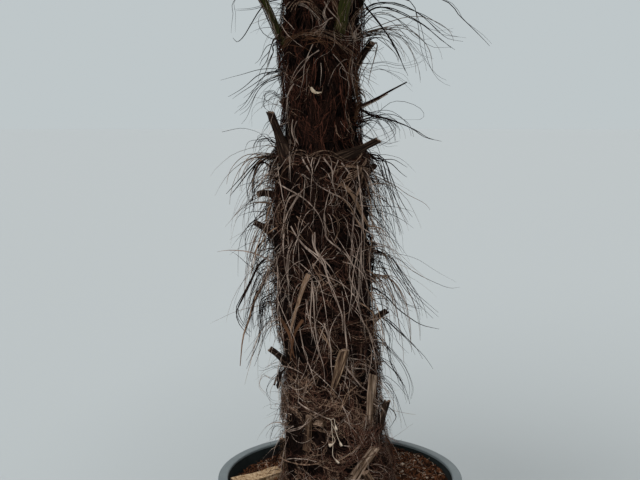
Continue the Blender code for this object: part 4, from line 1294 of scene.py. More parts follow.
def make_skirts():
    """The frayed upper edges of the sheaths, whose fibres curl over the next one down."""
    rng = np.random.default_rng(15)
    groups = {finish: [] for finish in SKIRT_SHARES}
    for middle, height, half, count in SKIRTS:
        for finish, share in SKIRT_SHARES.items():
            number = round(count * share)
            aside = np.radians(middle + rng.uniform(-half, half, number)) - math.radians(middle)
            heights = height + rng.normal(0, SKIRT_SCATTER, number) - SKIRT_SAG * np.cos(aside)
            side = np.where(rng.random(number) < SKIRT_RIGHTWARD, 1.0, -1.0)
            headings = side * rng.uniform(*SKIRT_HEADINGS, number)
            curl = -side * rng.uniform(*SKIRT_CURLS, number)
            wave = np.abs(rng.normal(0, SKIRT_SWING, number))
            lengths, base, arch = (
                rng.uniform(*limits, number) for limits in (SKIRT_LENGTHS, SKIRT_DEPTHS, SKIRT_ARCHES)
            )
            bearings = aside + math.radians(middle)
            paths, outward = wandering(
                rng, bearings, heights, headings, lengths, SKIRT_STEPS, curl, wave, base, arch
            )
            thin = widths(rng, number, SKIRT_STEPS, *SKIRT_WIDTHS, SKIRT_END)
            groups[finish].append((paths, outward + rng.normal(0, SKIRT_TURN, (number, 1, 3)), thin))
    for finish, made in groups.items():
        add_strands(f"skirts_{finish}", kept_clear(made), FLAT, finish)


def hanging_group(rng, count, low, high, rise, out, length, width, weight, clearance, curl, sideways,
                  sector):
    """Strands that start on the trunk between two heights, at random within a sector of it."""
    bearings = np.radians(rng.uniform(*sector, count))
    heights = rng.uniform(low, high, count)
    starts = trunk_points(bearings, heights, -HANGING_ROOT)
    directions = (
        outward_at(bearings) * rng.uniform(*out, count)[:, None]
        + outward_at(bearings + math.pi / 2) * rng.normal(0, sideways, count)[:, None]
        + np.array(UP) * rng.uniform(*rise, count)[:, None]
    )
    lengths = rng.uniform(*length, count)
    pull = rng.uniform(*weight, count)
    bends = rng.normal(0, curl, count)
    clear = rng.uniform(*clearance, count)
    paths, outward = hanging(rng, starts, directions, lengths, pull, bends, clear)
    return paths, outward, widths(rng, count, HANGING_STEPS, *width, HANGING_END, HANGING_END_POWER)


def make_hanging(kind, seed, table, material, profile):
    """Strips that hang down the trunk from the sheaths' edges, or wisps that stand off it and curl."""
    rng = np.random.default_rng(seed)
    for colour, rows in table.items():
        groups = [hanging_group(rng, *row) for row in rows]
        add_strands(f"{kind}_{colour}", groups, profile, f"{material}_{colour}")


def led_to_trunk(points):
    """A strand's places, with one on the trunk put first where neither end of the strand is on it."""
    points = np.array(points)
    bearings, distances = round_axis(points)
    gaps = distances - trunk_radii(bearings, points[:, 2])
    if min(gaps[0], gaps[-1]) < SEEN_TOUCH * SEEN_OUT:
        return points
    heights = points[:1, 2] + SEEN_LINK_RISE * gaps[:1]
    return np.concatenate([trunk_points(bearings[:1], heights, -SEEN_LINK_DEPTH), points])


def make_seen_strands():
    """The strands that stand out in the photograph, each with its near-alike neighbours."""
    rng = np.random.default_rng(27)
    share = np.linspace(0, 1, SEEN_STEPS)[None, :, None]
    for finish, rows in SEEN_STRANDS.items():
        groups = []
        for width, count, spread, *route in rows:
            width, spread = width / 1000, spread / 1000
            places = [seen_point(x, y, SEEN_OUT) for x, y in zip(route[::2], route[1::2])]
            line = spline(led_to_trunk(places), SEEN_STEPS)[None]
            start = rng.normal(0, SEEN_START_SHARE * spread, (count, 1, 3))
            end = rng.normal(0, spread, (count, 1, 3))
            start[0], end[0] = 0, 0
            ripple = rng.normal(0, SEEN_RIPPLE_SHARE * spread + SEEN_RIPPLE, (count, 1, 3))
            paths = line + start * (1 - share) + end * share**1.3
            paths = paths + ripple * np.sin(SEEN_RIPPLE_TURN * share + rng.uniform(0, 6))
            paths = clear_of_trunk(paths, SEEN_OUT + SEEN_ARCH * np.sin(math.pi * share[..., 0]) ** 0.6)
            thinnest = SEEN_THINNEST * width
            thin = widths(rng, count, SEEN_STEPS, thinnest, width, SEEN_END, SEEN_END_POWER)
            groups.append((paths, outward_from_axis(paths, SEEN_TIP_UP), thin))
        add_strands(f"seen_{finish}", groups, GUTTER if finish in SEEN_FLAT else TUBE, finish)


def tuft_paths(rng, height, bearing, reach, drop):
    """Paths of a tuft's strands: out of the fibre, over, and down."""
    paths = []
    for k in range(TUFT_STRANDS):
        spread = (k / (TUFT_STRANDS - 1) - 0.5) * TUFT_SPREAD
        turned_bearing = bearing + spread + either_way(rng, TUFT_TURN)
        outward = Vector((math.cos(turned_bearing), math.sin(turned_bearing), 0))
        level = height + either_way(rng, TUFT_SCATTER)
        start = trunk_point(bearing + TUFT_START_SPREAD * spread, level, -TUFT_ROOT)
        far = reach * rng.uniform(*TUFT_REACHES)
        fall = drop * rng.uniform(*TUFT_DROPS)
        rise = TUFT_RISE * far
        wave = either_way(rng, TUFT_WAVE)
        side = Vector((-outward.y, outward.x, 0))
        points = []
        for step in range(TUFT_STEPS + 1):
            share = step / TUFT_STEPS
            out = far * math.sin(share * math.pi / 2) ** 0.8 + 0.012 * share
            up = rise * math.sin(min(1.0, 2.2 * share) * math.pi / 2) - fall * share**1.7
            aside = wave * math.sin(2.5 * share * math.pi)
            points.append(tuple(start + outward * out + UP * up + side * aside))
        paths.append(points)
    return np.array(paths)


def make_tufts():
    """The bunches of loose fibre that hang off the trunk's sides, brown and dark in turn."""
    rng = random.Random(23)
    wide_rng = np.random.default_rng(23)
    for number, (height, bearing, reach, drop) in enumerate(TUFTS, 1):
        bearing = math.radians(bearing)
        paths = tuft_paths(rng, height, bearing, reach, drop)
        steps = paths.shape[1]
        tipped_up = np.array((TUFT_TIP_OUT * math.cos(bearing), TUFT_TIP_OUT * math.sin(bearing), 1.0))
        outward = np.broadcast_to(tipped_up, paths.shape)
        thin = widths(wide_rng, len(paths), steps, *TUFT_WIDTHS, TUFT_END)
        finish = "fibre_brown" if number % 2 else "fibre_dark"
        nodes = [f"fibre_tuft_{number:02d}"]
        add_strands(f"tuft_{number:02d}", [(paths, outward, thin)], TUBE, finish, nodes=nodes)


def base_finish(number):
    """The name of the colour of a leaf base: most are brown or dark, and two pale."""
    if number in DARK_BASES:
        return "leaf_base_dark"
    if number in PALE_BASES:
        return "leaf_base_pale"
    return "leaf_base"


def stub_points(rng, path, side, foot_width, cut_width):
    """Rings of points round a stub's middle line, and the smaller ring and the middle of its cut."""
    turns = np.arange(BASE_SIDES) * math.tau / BASE_SIDES
    along, side, face = across_path(path, side)
    share = np.linspace(0, 1, BASE_RINGS)
    half_width = (foot_width + (cut_width - foot_width) * np.minimum(1, BASE_NARROWING * share)) / 2
    half_thick = BASE_HALF_THICKNESS * (1 - BASE_THINNING * share)
    ribs = 1 + sum(size * np.cos(k * turns + rng.uniform(0, 6)) for k, size in BASE_RIBS)
    rough = 1 + rng.normal(0, BASE_ROUGHNESS, (BASE_RINGS, BASE_SIDES))
    x = half_width[:, None] * np.cos(turns) * ribs * rough
    y = half_thick[:, None] * np.sin(turns) * ribs * rough
    y = y + BASE_DISH * (np.cos(turns) ** 2)[None, :] - BASE_DISH_DEPTH
    slant = either_way(rng, CUT_SLANT)
    points = path[:, None] + side[:, None] * x[..., None] + face[:, None] * y[..., None]
    cut = along[-1] * (slant * np.cos(turns) + rng.normal(0, CUT_ROUGHNESS, BASE_SIDES))[:, None]
    points[-1] += cut
    points[-2] += 0.5 * cut
    inner = path[-1] + (points[-1] - path[-1]) * CUT_RIM_SHARE - along[-1] * CUT_RING_DEPTH
    middle = path[-1] - along[-1] * CUT_MIDDLE_DEPTH
    return np.concatenate([points.reshape(-1, 3), inner, middle[None]])


def make_leaf_bases():
    """Weathered stubs of leaf stalks: hollowed inside, ribbed along their length and roughly cut."""
    rng = np.random.default_rng(31)
    sides, rings = BASE_SIDES, BASE_RINGS
    turns = np.arange(sides) * math.tau / sides
    last, centre = rings * sides, (rings + 1) * sides
    faces = [*grid_faces(rings + 1, sides, wrap=True)]
    faces += [(last + k, last + (k + 1) % sides, centre) for k in range(sides)]
    faces.append(range(sides)[::-1])
    ends = np.zeros(len(faces), np.int32)
    ends[last - sides:last + sides] = 1
    round_it = np.append(np.tile(GRAIN_RADIUS * turns, rings + 1), 0)
    share = np.append(np.linspace(0, 1, rings), 1)
    down_it = np.append(np.repeat(share, sides), 1)
    rows = enumerate(leaf_bases(), 1)
    for number, (height, bearing, length, lean, tilt, foot_width, cut_width) in rows:
        bearing, lean, tilt = (math.radians(angle) for angle in (bearing, lean, tilt))
        start = trunk_point(bearing, height, -BASE_ROOT)
        limb = rising_path(start, bearing, BASE_LEAN * lean, BASE_BEND * lean, length, BASE_STEPS, tilt)
        side = np.array((-math.sin(bearing), math.cos(bearing), 0))
        points = stub_points(rng, spline(limb, rings), side, foot_width, cut_width)
        mesh = mixed_mesh("leaf_stub", points, faces)
        mesh.polygons.foreach_set("material_index", ends)
        mesh.update()
        add_grain(mesh, round_it + number, down_it * length)
        smooth(mesh, 40)
        finishes = [base_finish(number), "cut_face"]
        add_piece(f"stub_{number:02d}", mesh, finishes, [f"leaf_base_{number:02d}"])


def aged(values, age):
    """A value of a frond: what a new one has and what age adds to it."""
    new, added = values
    return new + added * age


class Frond:
    """A fan frond: where its stalk starts, how it rises and bends, and how its blade lies."""

    def __init__(self, number, draw, foot, bearing, age, rise):
        """Age runs from 0, the newest open frond in the middle, to 1, the oldest at the outside.

        Rise is the share of its lean that a stalk has at its foot.
        """
        rng = random.Random(1000 * number + draw)
        self.age = age
        self.bearing = bearing + math.radians(either_way(rng, BEARING_CHANGE))
        self.start = trunk_point(self.bearing, foot, -FROND_ROOT)
        open_sky = 1 - math.cos(math.radians(FROND_LOWEST_LEAN))
        lean = math.acos(1 - aged(FROND_OPENING, age) * open_sky)
        lean += math.radians(either_way(rng, LEAN_CHANGE))
        self.lean = rise * lean + FROND_FIRST_LEAN
        self.bend = lean - self.lean
        self.stalk = aged(STALK_LENGTH, age) + either_way(rng, STALK_CHANGE)
        self.reach = aged(BLADE_LENGTH, age) + either_way(rng, BLADE_CHANGE)
        self.spread = FAN_SPREAD * min(1.0, aged(FAN_OPENING, age))
        self.sag = aged(FAN_SAG, age)
        self.cup = aged(FAN_CUP, age)
        self.roll = math.radians(either_way(rng, ROLL_CHANGE))
        self.nod = math.radians(aged(FAN_NOD, age) + either_way(rng, NOD_CHANGE))
        self.side = Vector((-math.sin(self.bearing), math.cos(self.bearing), 0))
        self.path = rising_path(self.start, self.bearing, self.lean, self.bend, self.stalk, STALK_STEPS)
        self.hub = self.path[-1]
        tangent = (self.path[-1] - self.path[-2]).normalized()
        self.forward = Matrix.Rotation(self.nod, 3, self.side) @ tangent
        self.across = Matrix.Rotation(self.roll, 3, self.forward) @ self.side
        self.face = self.forward.cross(self.across).normalized()

    def leaflet_length(self, angle):
        """Leaflets are longest ahead of the stalk and shorter where they turn back along it."""
        return self.reach * (1 - FAN_BACK_CUT * abs(2 * angle / FAN_SPREAD) ** 1.6)

    def blade_point(self, angle, radius, lift=0.0):
        """A point of the blade: fanned out from the hub, with the far ends sinking."""
        spoke = self.forward * math.cos(angle) + self.across * math.sin(angle)
        share = radius / self.reach
        sink = self.sag * self.reach * share**2.2 * (1 + FAN_SIDE_SAG * math.sin(angle) ** 2)
        cup = self.cup * radius * math.sin(angle) ** 2
        return self.hub + spoke * radius + self.face * (lift + cup) - UP * sink


def fronds():
    """The two lowest fronds, where the photograph shows them, and the rest in a spiral."""
    made = []
    for number in range(FROND_COUNT):
        turn = number - len(LOW_FRONDS)
        if turn < 0:
            foot, bearing = LOW_FRONDS[number]
            rise = LOW_FROND_RISE
        else:
            climb = (SPIRAL_TOP - SPIRAL_FOOT) / (FROND_COUNT - len(LOW_FRONDS) - 1)
            foot = SPIRAL_FOOT + climb * turn
            bearing = SPIRAL_BEARING + math.degrees(GOLDEN_ANGLE) * turn
            rise = FROND_RISE
        age = 1 - number / (FROND_COUNT - 1)
        draw = LATER_DRAWS.get(number, 0)
        made.append(Frond(number, draw, foot, math.radians(bearing), age, rise))
    return made


def leaflet_rows(fan, rng, angle, step, splits):
    """The three lines of one leaflet, edge, rib and edge, from the hub out to its tip."""
    length = fan.leaflet_length(angle) * rng.uniform(*LEAFLET_SHARES)
    split = min(splits)
    bend = math.radians(rng.gauss(0, LEAFLET_BEND))
    droop = rng.uniform(*LEAFLET_DROOPS) + LEAFLET_AGE_DROOP * fan.age * rng.random()
    rows = []
    for k in range(LEAFLET_RINGS):
        radius = LEAFLET_START + (length - LEAFLET_START) * k / (LEAFLET_RINGS - 1)
        free = max(0.0, (radius - split) / (length - split))
        half = step / 2
        if free:
            wide = 0.5 * step * split * (1 - FREE_NARROWING * free) * (1 - free**2.2) + FREE_END
            half = wide / radius
        lift = (LEAFLET_FOLD + FREE_FOLD * free) * radius * half
        middle = angle + bend * free**2
        sink = UP * (droop * length * free**2.5)
        for aside, up in ((-half, lift), (0, -lift), (half, lift)):
            rows.append(tuple(fan.blade_point(middle + aside, radius, up) - sink))
    return rows


def make_fans():
    """The fans with every leaflet, some of their tips dead, and the stalk of each."""
    rng = random.Random(41)
    quads = grid_faces(LEAFLET_RINGS, 3)
    for number, fan in enumerate(fronds(), 1):
        count = max(LEAST_LEAFLETS, round(LEAFLETS * fan.spread / FAN_SPREAD))
        step = fan.spread / count
        lengths = [fan.leaflet_length(-fan.spread / 2 + step * k) for k in range(count + 1)]
        splits = [length * rng.uniform(*SPLIT_SHARES) for length in lengths]
        points, faces, tints = [], [], []
        for k in range(count):
            angle = -fan.spread / 2 + step * (k + 0.5)
            rows = leaflet_rows(fan, rng, angle, step, splits[k:k + 2])
            faces.append(quads + len(points))
            points += rows
            dead = rng.random() < aged(DEAD_TIPS, fan.age**2)
            tips = 2 * DEAD_TIP_ROWS if dead else 0
            tints += [0] * (len(quads) - tips) + [1] * tips
        mesh = fast_mesh(f"fan_{number:02d}", points, np.concatenate(faces))
        mesh.polygons.foreach_set("material_index", np.array(tints, np.int32))
        smooth(mesh, 30)
        leaf = next(finish for age, finish in LEAF_AGES if fan.age <= age)
        node = f"frond_{number:02d}"
        add_piece(f"fan_{number:02d}", mesh, [leaf, "leaf_tip"], [node])
        make_stalk(fan, number, node)


def stalk_lines(fan, steps):
    """A leaf stalk's middle line, its directions and its half width and half thickness along it."""
    ends = [fan.blade_point(0, reach, -STALK_END_DEPTH) for reach in STALK_ENDS]
    path = spline([*fan.path, *ends], steps)
    share = np.linspace(0, 1, steps)
    half_width = np.interp(share, STALK_SHARES, STALK_HALF_WIDTHS)
    half_thick = np.interp(share, STALK_SHARES, STALK_HALF_THICKNESSES)
    return path, *across_path(path, np.array(fan.side)), half_width, half_thick


def make_stalk_fibres():
    """Fibres of the sheaths that climb the feet of the two lowest stalks and cross them."""
    rng = np.random.default_rng(71)
    steps = STALK_FIBRE_STEPS
    share = np.linspace(0, 1, steps)
    for finish, count in STALK_FIBRES.items():
        paths, faces = [], []
        for fan in fronds()[: len(LOW_FRONDS)]:
            path, _, side, face, half_width, half_thick = stalk_lines(fan, STALK_FIBRE_PLACES)
            reach = np.linalg.norm(path[-1] - path[0]) / STALK_FIBRE_PLACES
            for _ in range(count):
                first = rng.uniform(*STALK_FIBRE_STARTS)
                places = np.linspace(first, first + rng.uniform(*STALK_FIBRE_LENGTHS), steps)
                rows = np.clip((places / reach).astype(int), 0, STALK_FIBRE_PLACES - 1)
                aside = either_way(rng, STALK_FIBRE_ASIDE) + rng.normal(0, STALK_FIBRE_CROSSING) * share
                swing = rng.uniform(*STALK_FIBRE_SWINGS) * share + rng.uniform(0, 6)
                aside = aside + STALK_FIBRE_SWING * np.sin(swing)
                lift = np.sqrt(np.clip(1 - aside**2, 0, 1)) * half_thick[rows]
                lift = lift + rng.uniform(*STALK_FIBRE_LIFTS)
                across = side[rows] * (aside * half_width[rows])[:, None]
                paths.append(path[rows] + across + face[rows] * lift[:, None])
                faces.append(face[rows])
        thin = widths(rng, len(paths), steps, *STALK_FIBRE_WIDTHS, STALK_FIBRE_END)
        add_strands(f"stalk_{finish}", [(np.array(paths), np.array(faces), thin)], TUBE, finish)


def make_stalk(fan, number, node):
    """A leaf stalk, flat above and round below, with small teeth along both edges."""
    steps, sides = STALK_RINGS, STALK_SIDES
    path, along, side, face, half_width, half_thick = stalk_lines(fan, steps)
    share = np.linspace(0, 1, steps)
    turns = (np.arange(sides) + 0.5) * math.tau / sides
    y = np.sin(turns)
    y = np.where(y > 0, STALK_FLATNESS * y, y)
    across = side[:, None] * (half_width[:, None] * np.cos(turns))[..., None]
    points = path[:, None] + across - face[:, None] * (half_thick[:, None] * y)[..., None]
    faces = [*grid_faces(steps, sides, wrap=True)]
    faces += [range(sides)[::-1], range((steps - 1) * sides, steps * sides)]
    all_points = [*points.reshape(-1, 3)]
    rng = random.Random(600 + number)
    for edge in (-1, 1):
        for k in range(STALK_TEETH):
            place = TEETH_START + TEETH_SPAN * (k + rng.random()) / STALK_TEETH
            i = place * (steps - 1)
            low = int(i)
            centre = path[low] + (path[low + 1] - path[low]) * (i - low)
            outer = side[low] * edge
            foot = centre + outer * np.interp(place, share, half_width) * TOOTH_SEAT
            size = rng.uniform(*TOOTH_SIZES)
            first = len(all_points)
            all_points += [
                foot - along[low] * size,
                foot + along[low] * size,
                foot + face[low] * size * TOOTH_THICKNESS,
                foot + outer * size * TOOTH_REACH + along[low] * size * TOOTH_SLANT,
            ]
            faces += [(first + a, first + b, first + 3) for a, b in ((0, 1), (1, 2), (2, 0))]
    mesh = mixed_mesh("stalk", all_points, faces)
    teeth = np.zeros(len(all_points) - steps * sides)
    round_it = np.append(np.tile(GRAIN_RADIUS * turns, steps), teeth)
    down_it = np.append(np.repeat(share * fan.stalk, sides), teeth)
    add_grain(mesh, round_it + number, down_it)
    smooth(mesh, 50)
    add_piece(f"stalk_{number:02d}", mesh, ["stalk"], [node])


def make_spear():
    """The newest leaf, still folded: a slim pleated rod that widens and comes to a point."""
    share = np.linspace(0, 1, SPEAR_RINGS)
    half = np.interp(share, SPEAR_SHARES, SPEAR_RADII)[:, None]
    turns = np.arange(SPEAR_SIDES) * math.tau / SPEAR_SIDES
    depth = np.interp(share, (0, 0.2, 1), (0.2, 1, 1))[:, None]
    radii = SPEAR_FILL * half * (1 + SPEAR_PLEAT_DEPTH * np.cos(SPEAR_PLEATS * turns) * depth)
    centre = np.outer(share, (0, 0, SPEAR_LENGTH)) + np.outer(share**2, SPEAR_BEND)
    centre += np.array(trunk_at(TRUNK_TOP)[1])
    ring = [radii * np.cos(turns), SPEAR_FLATNESS * radii * np.sin(turns), 0 * radii]
    points = centre[:, None] + np.stack(ring, axis=-1)
    mesh = fast_mesh("spear", points, grid_faces(SPEAR_RINGS, SPEAR_SIDES, wrap=True))
    smooth(mesh, 35)
    add_piece("spear", mesh, ["leaf_new"], ["spear_leaf"])


def pot_inner_radius(height):
    """The radius of the pot's inner wall, which steepens inside the rim."""
    neck = POT_HEIGHT - RIM_DEPTH
    if height <= neck:
        return POT_BASE_RADIUS + (POT_NECK_RADIUS - POT_BASE_RADIUS) * height / neck - POT_WALL
    mouth = POT_HEIGHT - LIP_ROLL
    start = POT_NECK_RADIUS - POT_WALL
    return start + (RIM_MOUTH_RADIUS - start) * (height - neck) / (mouth - neck)


def pot_profile():
    """The pot's outline from the middle of its floor, up, over its lip and down to its underside."""
    half = (RIM_RADIUS - RIM_MOUTH_RADIUS) / 2
    middle = RIM_MOUTH_RADIUS + half
    neck = POT_HEIGHT - RIM_DEPTH
    lip = []
    for k in range(LIP_STEPS + 1):
        turn = math.pi * k / LIP_STEPS
        across = math.copysign(abs(math.cos(turn)) ** LIP_SQUARENESS, math.cos(turn))
        up = abs(math.sin(turn)) ** LIP_SQUARENESS
        lip.append((middle - half * across, POT_HEIGHT - LIP_ROLL * (1 - up)))
    wall = []
    for share in np.linspace(0, 1, POT_WALL_RINGS):
        radius = POT_NECK_RADIUS + (POT_BASE_RADIUS + POT_FOOT_GROWTH - POT_NECK_RADIUS) * share
        wall.append((radius, neck - 0.003 - share * (neck - POT_FOOT_HEIGHT)))
    return [
        (0.0, POT_FLOOR),
        (pot_inner_radius(POT_FLOOR), POT_FLOOR),
        (pot_inner_radius(neck), neck),
        *lip,
        (RIM_RADIUS - 0.0005, POT_HEIGHT - 0.024),
        (RIM_RADIUS - 0.002, neck + 0.003),
        (RIM_RADIUS - 0.005, neck),
        (POT_NECK_RADIUS + 0.002, neck - 0.001),
        *wall,
        (POT_BASE_RADIUS - 0.002, 0.004),
        (POT_BASE_RADIUS - 0.008, 0.0),
        (0.0, 0.0),
    ]


def make_pot():
    """The pot turned finely: flat-topped rim, a step under it, tapered wall, foot ring and drain holes."""
    bm = bmesh.new()
    points = [bm.verts.new((radius, 0, z)) for radius, z in pot_profile()]
    for start, end in zip(points, points[1:]):
        bm.edges.new((start, end))
    outline = bm.verts[:] + bm.edges[:]
    bmesh.ops.spin(
        bm, geom=outline, cent=(0, 0, 0), axis=UP, angle=math.tau, steps=POT_TURN_STEPS, use_merge=True
    )
    bmesh.ops.remove_doubles(bm, verts=bm.verts[:], dist=0.00005)
    bmesh.ops.recalc_face_normals(bm, faces=bm.faces[:])
    pot = add_object("pot_shell", finished_mesh("pot_shell", bm))
    for k in range(DRAIN_COUNT):
        bearing = math.tau * (k + 0.5) / DRAIN_COUNT
        place = Matrix.Translation((DRAIN_RING * math.cos(bearing), DRAIN_RING * math.sin(bearing), 0))
        bm = bmesh.new()
        bmesh.ops.create_cone(
            bm, cap_ends=True, segments=DRILL_SIDES, radius1=DRAIN_RADIUS, radius2=DRAIN_RADIUS,
            depth=DRILL_DEPTH, matrix=place,
        )
        drill = add_object("drill", finished_mesh("drill", bm))
        cut = pot.modifiers.new("Drain", "BOOLEAN")
        cut.object = drill
        graph = bpy.context.evaluated_depsgraph_get()
        result = bpy.data.meshes.new_from_object(pot.evaluated_get(graph))
        pot.modifiers.clear()
        pot.data = result
        bpy.data.objects.remove(drill)
    result = pot.data
    bpy.data.objects.remove(pot)
    smooth(result, 35)
    result.materials.clear()
    add_piece("pot_shell", result, ["pot", "pot_inside_dirt_and_shade"], ["pot"])
    # Inward faces of the wall take the darker inside finish: dirt and painted shade
    for face in result.polygons:
        inward = face.normal.x * face.center.x + face.normal.y * face.center.y < 0
        if inward and 2 * POT_FLOOR < face.center.z < POT_HEIGHT - LIP_ROLL:
            face.material_index = 1


def soil_heights(x, y):
    """The soil's top: flat under the trunk, and uneven towards the pot's wall, higher at the right."""
    radius = np.hypot(x, y)
    share = np.clip((radius - SOIL_SEAT_RADIUS) / (POT_NECK_RADIUS - SOIL_SEAT_RADIUS), 0, 1)
    bearing = np.arctan2(y, x)
    rise = SOIL_RISE * (np.cos(bearing - SOIL_HIGH_BEARING) + waves(SOIL_RIPPLES, bearing, 0))
    for middle, reach, height in SOIL_MOUNDS:
        away = np.degrees(turned(bearing, math.radians(middle)))
        rise = rise + height * np.exp(-((away / reach) ** 2))
    return SOIL_LEVEL + share * rise


def make_soil():
    """The compost: a rough top inside the rim, and plain sides and floor that the pot hides."""
    rng = np.random.default_rng(52)
    rim = pot_inner_radius(SOIL_LEVEL) - SOIL_GAP
    bearings = np.arange(SOIL_SIDES) * math.tau / SOIL_SIDES
    r, b = np.meshgrid(np.linspace(SOIL_START, 1.0, SOIL_RINGS) * rim, bearings, indexing="ij")
    x, y = r * np.cos(b), r * np.sin(b)
    rough = np.zeros_like(x)
    for _ in range(SOIL_WAVES):
        wave = rng.uniform(*SOIL_WAVE_RANGE)
        turn = rng.uniform(0, math.tau)
        rough += np.sin(wave * (x * math.cos(turn) + y * math.sin(turn)) + rng.uniform(0, 6))
    z = soil_heights(x, y) + SOIL_ROUGHNESS * rough / SOIL_WAVES**0.5 - SOIL_SINK
    floor = POT_FLOOR + SOIL_GAP
    foot = (pot_inner_radius(floor) - SOIL_GAP) * outward_at(bearings)
    foot[:, 2] = floor
    points = np.concatenate([np.stack([x, y, z], axis=-1).reshape(-1, 3), foot])
    faces = [*grid_faces(SOIL_RINGS + 1, SOIL_SIDES, wrap=True), range(SOIL_SIDES)[::-1]]
    faces.append(range(SOIL_RINGS * SOIL_SIDES, (SOIL_RINGS + 1) * SOIL_SIDES))
    mesh = mixed_mesh("compost", points, faces)
    smooth(mesh, 60)
    add_piece("compost", mesh, ["soil"], ["soil"])


def scattered(rng, count, ring):
    """Places spread evenly over a ring of the soil, as two rows."""
    bearing = rng.uniform(0, math.tau, count)
    radius = np.sqrt(rng.uniform(ring[0] ** 2, ring[1] ** 2, count))
    return radius * np.cos(bearing), radius * np.sin(bearing)


def turned_pair(a, b, angles):
    """Two coordinates of the corners of some shapes, each shape turned by its own angle."""
    c, s = np.cos(angles)[:, None], np.sin(angles)[:, None]
    return a * c - b * s, a * s + b * c


def make_chips():
    """A mulch of bark chips over the compost, thickest near the pot's wall."""
    rng = np.random.default_rng(57)
    count = CHIP_COUNT
    box = np.array([(x, y, z) for z in (-1, 1) for y in (-1, 1) for x in (-1, 1)], float)
    quads = np.array([(0, 2, 3, 1), (4, 5, 7, 6), (0, 1, 5, 4), (2, 6, 7, 3), (0, 4, 6, 2), (1, 3, 7, 5)])
    x, y = scattered(rng, count, CHIP_RING)
    size = rng.lognormal(math.log(CHIP_SIZE), CHIP_VARIETY, count)
    length, thickness = (size * rng.uniform(*limits, count) for limits in (CHIP_LENGTHS, CHIP_THICKNESSES))
    scale = np.minimum(np.stack([length, size, thickness], axis=-1), CHIP_LIMIT)
    shapes = box[None] * scale[:, None] * rng.uniform(*CHIP_CORNERS, (count, *box.shape))
    yaw, tilt = rng.uniform(0, math.tau, count), rng.normal(0, CHIP_TILT, count)
    px, pz = turned_pair(shapes[..., 0], shapes[..., 2], tilt)
    px, py = turned_pair(px, shapes[..., 1], yaw)
    lift = soil_heights(x, y) + rng.uniform(*CHIP_LIFTS, count)
    points = np.stack([px + x[:, None], py + y[:, None], pz + lift[:, None]], axis=-1)
    kinds = rng.choice(len(CHIP_SHARES), count, p=list(CHIP_SHARES.values()))
    for kind, name in enumerate(CHIP_SHARES):
        chosen = points[kinds == kind]
        faces = quads[None] + (np.arange(len(chosen)) * len(box))[:, None, None]
        add_piece(name + "s", fast_mesh(name, chosen, faces.reshape(-1, 4)), [name])


def make_soil_fibres():
    """Short coco fibres that lie over the mulch every way."""
    rng = np.random.default_rng(61)
    steps = SOIL_FIBRE_STEPS
    for colour, count in SOIL_FIBRES.items():
        place = np.stack(scattered(rng, count, SOIL_FIBRE_RING), axis=-1)
        heading = rng.uniform(0, math.tau, count)
        curl = rng.normal(0, SOIL_FIBRE_CURL, count)
        length = rng.uniform(*SOIL_FIBRE_LENGTHS, count)
        lift = rng.uniform(*SOIL_FIBRE_LIFTS, count)
        paths = np.empty((count, steps, 3))
        for k in range(steps):
            far = np.hypot(place[:, 0], place[:, 1])
            place = place * np.minimum(1, SOIL_FIBRE_REACH / far)[:, None]
            paths[:, k, :2] = place
            arch = SOIL_FIBRE_ARCH * math.sin(math.pi * k / (steps - 1))
            paths[:, k, 2] = soil_heights(place[:, 0], place[:, 1]) + lift + arch
            turn = heading + curl * k / (steps - 1)
            place = place + (length / (steps - 1))[:, None] * np.stack([np.cos(turn), np.sin(turn)], axis=-1)
        up = np.broadcast_to(np.array(UP), paths.shape)
        thin = widths(rng, count, steps, *SOIL_FIBRE_WIDTHS, SOIL_FIBRE_END)
        add_strands(f"soil_fibres_{colour}", [(paths, up, thin)], GUTTER, f"chip_{colour}")


def add_seen_thing(name, paths, rise, half_widths, profile, finish):
    """A single thing of the front, made of one or more strands."""
    add_strands(name, [(paths, outward_from_axis(paths, rise), half_widths)], profile, finish)


def make_flower_stalk():
    """A dried flower stalk that hangs in front of the trunk's foot, with its split pale ends."""
    paths = [seen_path(FLOWER_STALK, FLOWER_OUT, FLOWER_STEPS)]
    paths += [seen_path(route, FLOWER_OUT + 0.001, FLOWER_STEPS) for route in FLOWER_BRANCHES]
    paths = np.array(paths)
    from_end = np.linalg.norm(paths - paths[:, -1:], axis=2)
    half = np.interp(from_end, FLOWER_ENDS, FLOWER_HALF_WIDTHS)
    add_seen_thing("flower_stalk", paths, 0.0, half, TUBE, "cream_stalk")


def make_curled_chip():
    """A pale curled chip of sheath caught in the fibres of the neck."""
    line = seen_path(CURLED_CHIP, CURLED_CHIP_OUT, CURLED_CHIP_STEPS)[None]
    along = np.linspace(0.10, math.pi - 0.05, CURLED_CHIP_STEPS)
    half = CURLED_CHIP_HALF_WIDTH * np.sin(math.pi * (along / math.pi) ** 0.7) ** 0.9
    add_seen_thing("curled_chip", line, 0.5, half[None], GUTTER, "cream")


def make_spike():
    """A dark tapered spike, a dead leaf's rib, that stands out at the right of the neck."""
    line = seen_path(SPIKE, 0.0, SPIKE_STEPS)[None]
    half = np.linspace(*SPIKE_HALF_WIDTHS, SPIKE_STEPS)[None]
    add_seen_thing("spike", line, 0.0, half, TUBE, "fibre_umber")
    under = line[:, :SPIKE_EDGE_STEPS] - SPIKE_EDGE_DROP
    thin = np.linspace(*SPIKE_EDGE_HALF_WIDTHS, SPIKE_EDGE_STEPS)[None]
    add_seen_thing("spike_edge", under, 0.0, thin, TUBE, "fibre_grey")


